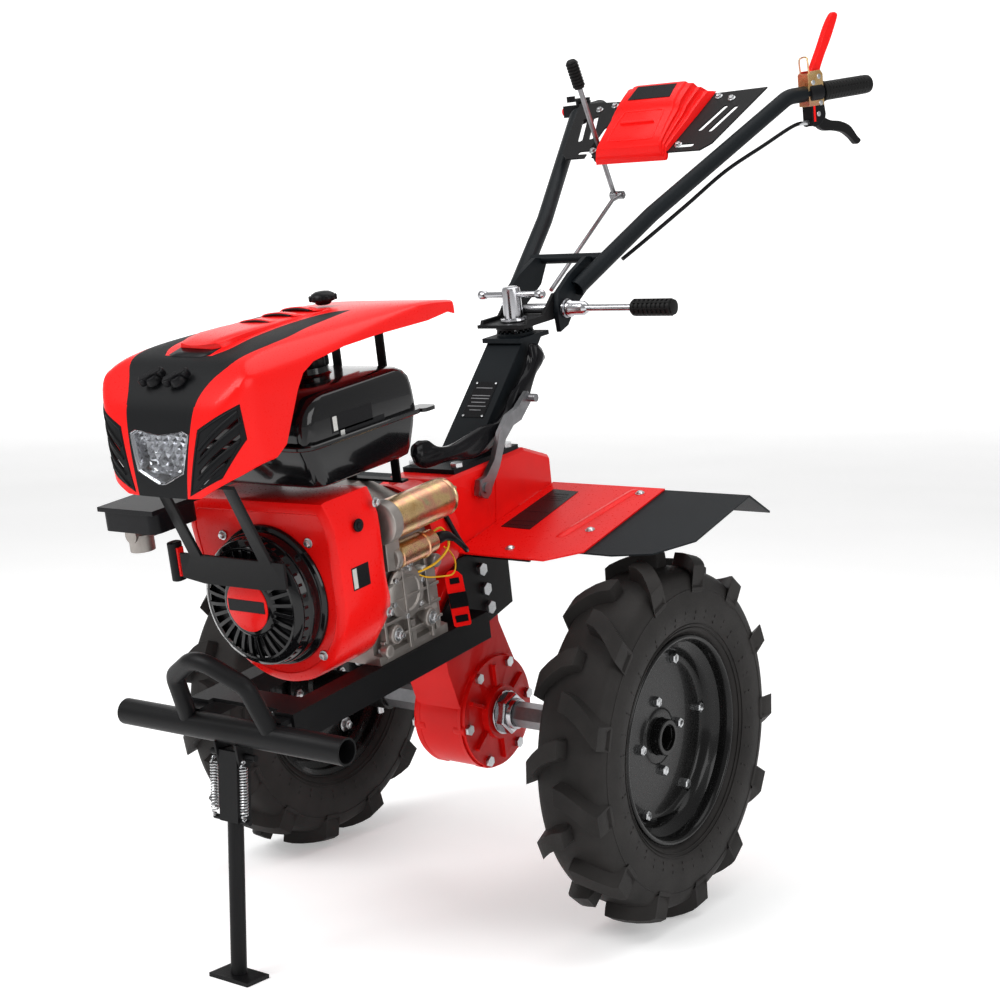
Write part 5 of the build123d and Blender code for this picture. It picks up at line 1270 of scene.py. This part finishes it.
def dash_section(s, height, top, foot, sill=3.2):
    """Across the cover: a flat top and fluted flanks."""
    right = [(foot, sill), (foot - 1, sill + (height - sill) * 0.10)]
    for k in range(3):
        t0, t1 = 0.12 + 0.27 * k, 0.12 + 0.27 * (k + 1)
        x0, x1 = foot + (top - foot) * t0, foot + (top - foot) * t1
        right += [(x0, sill + (height - sill) * (t0 + 0.19)),
            (x1 + 1.5, sill + (height - sill) * (t0 + 0.22)), (x1, sill + (height - sill) * t1)]
    right += [(top + 1.5, sill + (height - sill) * 0.975), (top - 2.5, height)]
    return [on_dash(x, s, h) for x, h in right + [(-x, h) for x, h in reversed(right)]]


cover = Shape()
cover.rings([
    dash_section(-8, 6, 70, 78, -9), dash_section(-6, 12, 70, 80, -9), dash_section(0, 22, 68, 80, -7),
        dash_section(8, 26, 66, 81, 3.2), dash_section(30, 30, 64, 84),
    dash_section(60, 34, 62, 88), dash_section(96, 37, 60, 93), dash_section(106, 40, 59, 94),
        dash_section(116, 45, 58, 96), dash_section(146, 46.5, 56, 99), dash_section(172, 46, 55, 102),
    dash_section(181, 42, 55, 103), dash_section(194, 12, 58, 104), dash_section(197, 4, 60, 104),
])
cover.make("dash_hood", "handlebars", "red_plastic", replaces=["dash_cover"], bevel=0.8, smooth=24)
ledge = Shape()
frame_line = [on_dash(x, s, h) for x, s, h in (
    (-50, 22, 28.2), (-48, 60, 33.6), (-44, 90, 36.4), (-38, 96, 37.0), (0, 97, 37.1), (38, 96, 37.0),
        (44, 90, 36.4), (48, 60, 33.6), (50, 22, 28.2),
    (44, 15, 27.2), (0, 14, 27.0), (-44, 15, 27.2), (-50, 22, 28.2))]
ledge.tube(curve(frame_line, 4), 1.7, 10)
ledge.rings([[on_dash(x, s, h) for x, s in ((-38, s0), (38, s0), (34, s0 + 7), (-34, s0 + 7))] for s0,
    h in ((58, 30), (58.5, 38.2))])
ledge.make("dash_ledge", "handlebars", "red_plastic", bevel=0.6)
tag = Shape()
tag.rings([[on_dash(x, s, h) for x, s in ((-47, 124), (47, 124), (44, 168), (-44, 168))]
    for h in (46.0, 47.0)])
tag.make("dash_label", "handlebars", "red_plastic", "label_black", bevel=0.2)
screws = Shape()
for hand in (1, -1):
    for x, s in ((96, 22), (150, 166), (118, 176)):
        screws.bolt(on_dash(hand * x, s, 3), DASH_N, 9, 4.5)
screws.make("dash_screws", "handlebars", "zinc", bevel=0.3)

# shift lever with a ribbed knob, and its rod
LEVER_TOP, LEVER_LOW = Vector((-99, 655, 1060)), Vector((-99, 766, 794))
LINE = (LEVER_TOP - LEVER_LOW).normalized()
SHIFT = LEVER_LOW + LINE * 92
stick = Shape()
stick.rod(LEVER_LOW, LEVER_TOP - LINE * 40, 4.9, 20)
stick.lathe(SHIFT - Vector((8, 0, 0)), (1, 0, 0), [(0, 8), (1, 9), (15, 9), (16, 8)], 28)
stick.lathe(LEVER_LOW - Vector((8, 0, 0)), (1, 0, 0), [(0, 7), (1, 8.4), (15, 8.4), (16, 7), (24, 4),
    (32, 4)], 28)
stick.make("shift_stick", "shift_lever", "steel", replaces=["shift_lever"])
knob = Shape()
profile = [(-54, 6), (-53, 10)]
for k in range(8):
    profile += [(-50 + 6.4 * k, 9.6), (-49 + 6.4 * k, 12.2), (-46.4 + 6.4 * k, 12.2),
        (-45.2 + 6.4 * k, 9.6)]
profile += [(1, 10.5), (4, 8), (4.5, 0)]
knob.lathe(LEVER_TOP, LINE, profile, 24)
knob.make("shift_knob", "shift_lever", "grip_rubber", smooth=35)


# ---------------------------------------------------------------- stand
LEG_UP, LEG_BACK = Vector((0, sin(radians(10)), cos(radians(10)))), Vector((0, cos(radians(10)),
    -sin(radians(10))))


def on_leg(x, back, down):
    """A point beside the stand leg, from its pin."""
    return Vector((x, -567, 139)) + LEG_BACK * back - LEG_UP * down


springs = Shape()
for hand in (1, -1):
    low, high = on_leg(hand * 30, -12, 84), on_leg(hand * 30, -12, 12)
    u, v, w = basis(high - low)
    turns = 17
    coil = [
        low + w * (high - low).length * k / (turns * 12) + (u * cos(k * pi / 6) + v * sin(k * pi / 6)) * 5.2
        for k in range(turns * 12 + 1)]
    springs.tube(coil, 1.15, 6)
    for end, side in ((low, -1), (high, 1)):
        hook = [end + u * 5.2, end + u * 4 + w * side * 3, end + w * side * 6 - u * 3, end + w * side * 9,
            end + w * side * 6 + u * 3.4]
        springs.tube(curve(hook, 5), 1.15, 8)
springs.make("stand_coils", "chassis", "zinc", replaces=["stand_springs"], smooth=50)

# ---------------------------------------------------------------- fenders
def fender_z(y, lift=0.0):
    return 320.6 + y * tan(radians(7.5)) + lift


for hand, name in ((1, "left"), (-1, "right")):
    label = Shape()
    outline = [(84, 26), (144, 24), (138, 186), (84, 190)]
    outline = [(hand * x, y) for x, y in outline][::hand]
    label.rings([[Vector((x, y, fender_z(y, lift))) for x, y in outline] for lift in (0.1, 0.7)])
    label.make("fender_label_" + name, "chassis", "red_paint", "label_black")
    bars = Shape()
    for y0, y1, x0, x1 in ((168, 172, 98, 128), (158, 160, 92, 132), (150, 152, 92, 132),
            (142, 144, 92, 132), (92, 94, 88, 136), (52, 54, 88, 138), (36, 38, 88, 138)):
        outline = [(x0, y0), (x1, y0), (x1, y1), (x0, y1)]
        outline = [(hand * x, y) for x, y in outline][::hand]
        bars.rings([[Vector((x, y, fender_z(y, lift))) for x, y in outline] for lift in (0.5, 0.9)])
    bars.make("fender_label_bars_" + name, "chassis", "red_paint", "grey_plastic")
    rib = Shape()
    sections = []
    for y in (4, 10, 20, 60, 120, 170, 196, 206, 212):
        x = 214 + (y - 7) * 0.13
        wide, tall = (5.5, 0.3) if y in (4, 212) else (7.5, 2.4) if y in (10, 206) else (8.5, 3.6)
        row = [(-wide, -0.6), (-wide, 0.0), (-wide * 0.55, tall * 0.8), (0, tall),
            (wide * 0.55, tall * 0.8), (wide, 0.0), (wide, -0.6)]
        sections.append([Vector((hand * (x + dx), y, fender_z(y, dz))) for dx, dz in row][::-hand])
    rib.rings(sections)
    rib.make("fender_rib_" + name, "chassis", "red_paint", bevel=0.8, smooth=50)
    domes = Shape()
    for x, y in ((253, 40), (256, 196), (155, -50)):
        seat = Vector((hand * x, y, fender_z(y)))
        normal = Vector((0, -sin(radians(7.5)), cos(radians(7.5))))
        domes.lathe(seat, normal, [(0, 8), (1.0, 8), (1.1, 6.2), (3.2, 5.4), (4.4, 3.0), (4.8, 0)], 24)
        domes.nut_end(seat - normal * 3, -normal, 9, 4, 10)
    domes.make("fender_fasteners_" + name, "chassis", "zinc")

# ---------------------------------------------------------------- small things around the case
tag = Shape()
top, side, down = Vector((112, -150, 300)), Vector((0.30, 0.94, -0.12)).normalized(), Vector((-0.02, 0.14,
    -0.99)).normalized()
face = side.cross(down)
outline = [(-14, 96), (14, 96), (17, 93), (17, 8), (10, 0), (4, -3), (-4, -3), (-10, 0), (-17, 8),
    (-17, 93)]
tag.rings([[top + side * a + down * b + face * (c + 0.0009 * (b - 50) ** 2) for a, b in outline]
    for c in (-0.5, 0.5)])
tag.make("hang_tag", "chassis", "red_plastic", bevel=0.2)
prints = Shape()
for b0, b1, wide in ((10, 20, 9), (36, 62, 17.2), (76, 88, 12)):
    for sign in (1, -1):
        low, high = sorted((sign * 0.55, sign * 0.95))
        band = [(-wide, b1), (wide, b1), (wide, b0), (-wide, b0)]
        prints.rings([[top + side * a + down * b + face * (c + 0.0009 * (b - 50) ** 2) for a, b in band]
            for c in (low, high)])
prints.make("hang_tag_bands", "chassis", "black_plastic", "label_black")
tie = Shape()
tie.tube(curve([(98, -236, 330), (106, -214, 312), (112, -178, 302), (112, -150, 298), (108, -136, 312),
    (94, -130, 328), (72, -130, 340)], 8), 1.3, 8)
tie.make("hang_tag_wire", "chassis", "black_plastic", "yellow_wire")

# final drive case: a boss round each bolt and a raised line where each cover joins
for hand, name in ((1, "left"), (-1, "right")):
    detail = Shape()
    for turn in [radians(1 + 60 * k) for k in range(6)]:
        y, z = 87 * cos(turn), 87 * sin(turn)
        detail.disc((hand * 30, y, z), (hand, 0, 0), 12.5, 23.6, 1.5, 28)
    detail.lathe((0, 0, 0), (hand, 0, 0), [(40, 98.6), (46, 99.4), (47.4, 99.4), (47.4, 98.0), (40, 97)],
        72, closed=True)
    detail.make("case_bosses_" + name, "chassis", "red_casting", bevel=0.6)


# ---------------------------------------------------------------- parts that keep the CAD shape
stood_for = {node for obj in bpy.data.objects for node in obj.get("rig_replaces", [])}
SOFT_EDGE = {
    "final_case": 3.0, "frame": 1.6, "gearbox": 2.5, "crankcase": 2.2, "steering_column": 1.0,
        "front_bumper": 1.0,
}
INSIDE = ("drive_axle", "final_gear", "pinion_shaft", "input_shaft", "crankshaft")
FINISH = {"pull_handle": "black_plastic"}
for node in frame["nodes"]:
    if node in stood_for:
        continue
    if node in INSIDE:
        cad = frame["nodes"][node]
        cad.data.materials.clear()
        cad.data.materials.append(MATS[SLOT_OF[node]])
    else:
        soften(node, SOFT_EDGE.get(node, 0.8), FINISH.get(node))


# ---------------------------------------------------------------- studio
def floor():
    g = Graph("studio_floor")
    g.join(g.ramp(g.noise(1.2, 3.0), [(0.3, (0.86, 0.86, 0.86)), (0.7, (0.90, 0.90, 0.90))]),
        g.shader.inputs["Base Color"])
    g.shader.inputs["Roughness"].default_value = 0.9
    g.shader.inputs["Specular IOR Level"].default_value = 0.1
    g.shader.inputs["Emission Color"].default_value = (1.0, 1.0, 1.0, 1)
    g.shader.inputs["Emission Strength"].default_value = 0.30
    mesh = bpy.data.meshes.new("studio_floor")
    mesh.from_pydata([(-40, -40, 0), (40, -40, 0), (40, 40, 0), (-40, 40, 0)], [], [(0, 1, 2, 3)])
    mesh.materials.append(g.mat)
    obj = bpy.data.objects.new("studio_floor", mesh)
    bpy.context.scene.collection.objects.link(obj)


def lamp(name, place, target, size, watts):
    light = bpy.data.lights.new(name, "AREA")
    light.shape = "RECTANGLE"
    light.size, light.size_y = size
    light.energy = watts
    obj = bpy.data.objects.new(name, light)
    obj.location = place
    obj.rotation_euler = (Vector(target) - Vector(place)).to_track_quat("-Z", "Y").to_euler()
    bpy.context.scene.collection.objects.link(obj)


def backdrop():
    """A pale screen behind the machine, as seen from the camera."""
    g = Graph("studio_screen")
    g.join(g.ramp(g.noise(0.6, 2.0), [(0.3, (0.93, 0.93, 0.93)), (0.7, (0.96, 0.96, 0.96))]),
        g.shader.inputs["Emission Color"])
    g.shader.inputs["Emission Strength"].default_value = 1.0
    g.shader.inputs["Base Color"].default_value = (0.5, 0.5, 0.5, 1)
    mesh = bpy.data.meshes.new("studio_screen")
    a = radians(35.94)
    centre, across = Vector((-sin(a), cos(a), 0)) * 14, Vector((cos(a), sin(a), 0)) * 14
    mesh.from_pydata([centre - across, centre + across, centre + across + Vector((0, 0, 9)),
        centre - across + Vector((0, 0, 9))], [], [(0, 1, 2, 3)])
    mesh.materials.append(g.mat)
    obj = bpy.data.objects.new("studio_screen", mesh)
    bpy.context.scene.collection.objects.link(obj)


def studio():
    floor()
    backdrop()
    lamp("key", (-1.2, -3.2, 3.4), (0, 0, 0.5), (2.6, 2.0), 122)
    lamp("fill", (4.2, -1.0, 2.2), (0, 0, 0.5), (2.4, 2.4), 66)
    lamp("top", (0.3, 0.6, 4.2), (0, 0, 0.4), (3.4, 3.4), 66)
    world = bpy.data.worlds.new("studio")
    world.use_nodes = True
    world.node_tree.nodes["Background"].inputs["Color"].default_value = (1.0, 1.0, 1.0, 1)
    world.node_tree.nodes["Background"].inputs["Strength"].default_value = 0.45
    bpy.context.scene.world = world
    bpy.context.scene.view_settings.view_transform = "Standard"


def camera():
    lens_data = bpy.data.cameras.new("camera")
    lens_data.lens = 61.96
    lens_data.sensor_width = 36.0
    lens_data.clip_end = 100
    obj = bpy.data.objects.new("camera", lens_data)
    a, e, roll = radians(35.94), radians(5.96), radians(-0.34)
    back = Vector((sin(a) * cos(e), -cos(a) * cos(e), sin(e)))
    right = Vector((cos(a), sin(a), 0))
    up = back.cross(right)
    across, upward = right * cos(roll) + up * sin(roll), up * cos(roll) - right * sin(roll)
    obj.matrix_world = Matrix.Translation((1.7624, AXLE.y - 2.348, 0.9658)) @ Matrix((across, upward,
        back)).transposed().to_4x4()
    bpy.context.scene.collection.objects.link(obj)
    bpy.context.scene.camera = obj


studio()
camera()
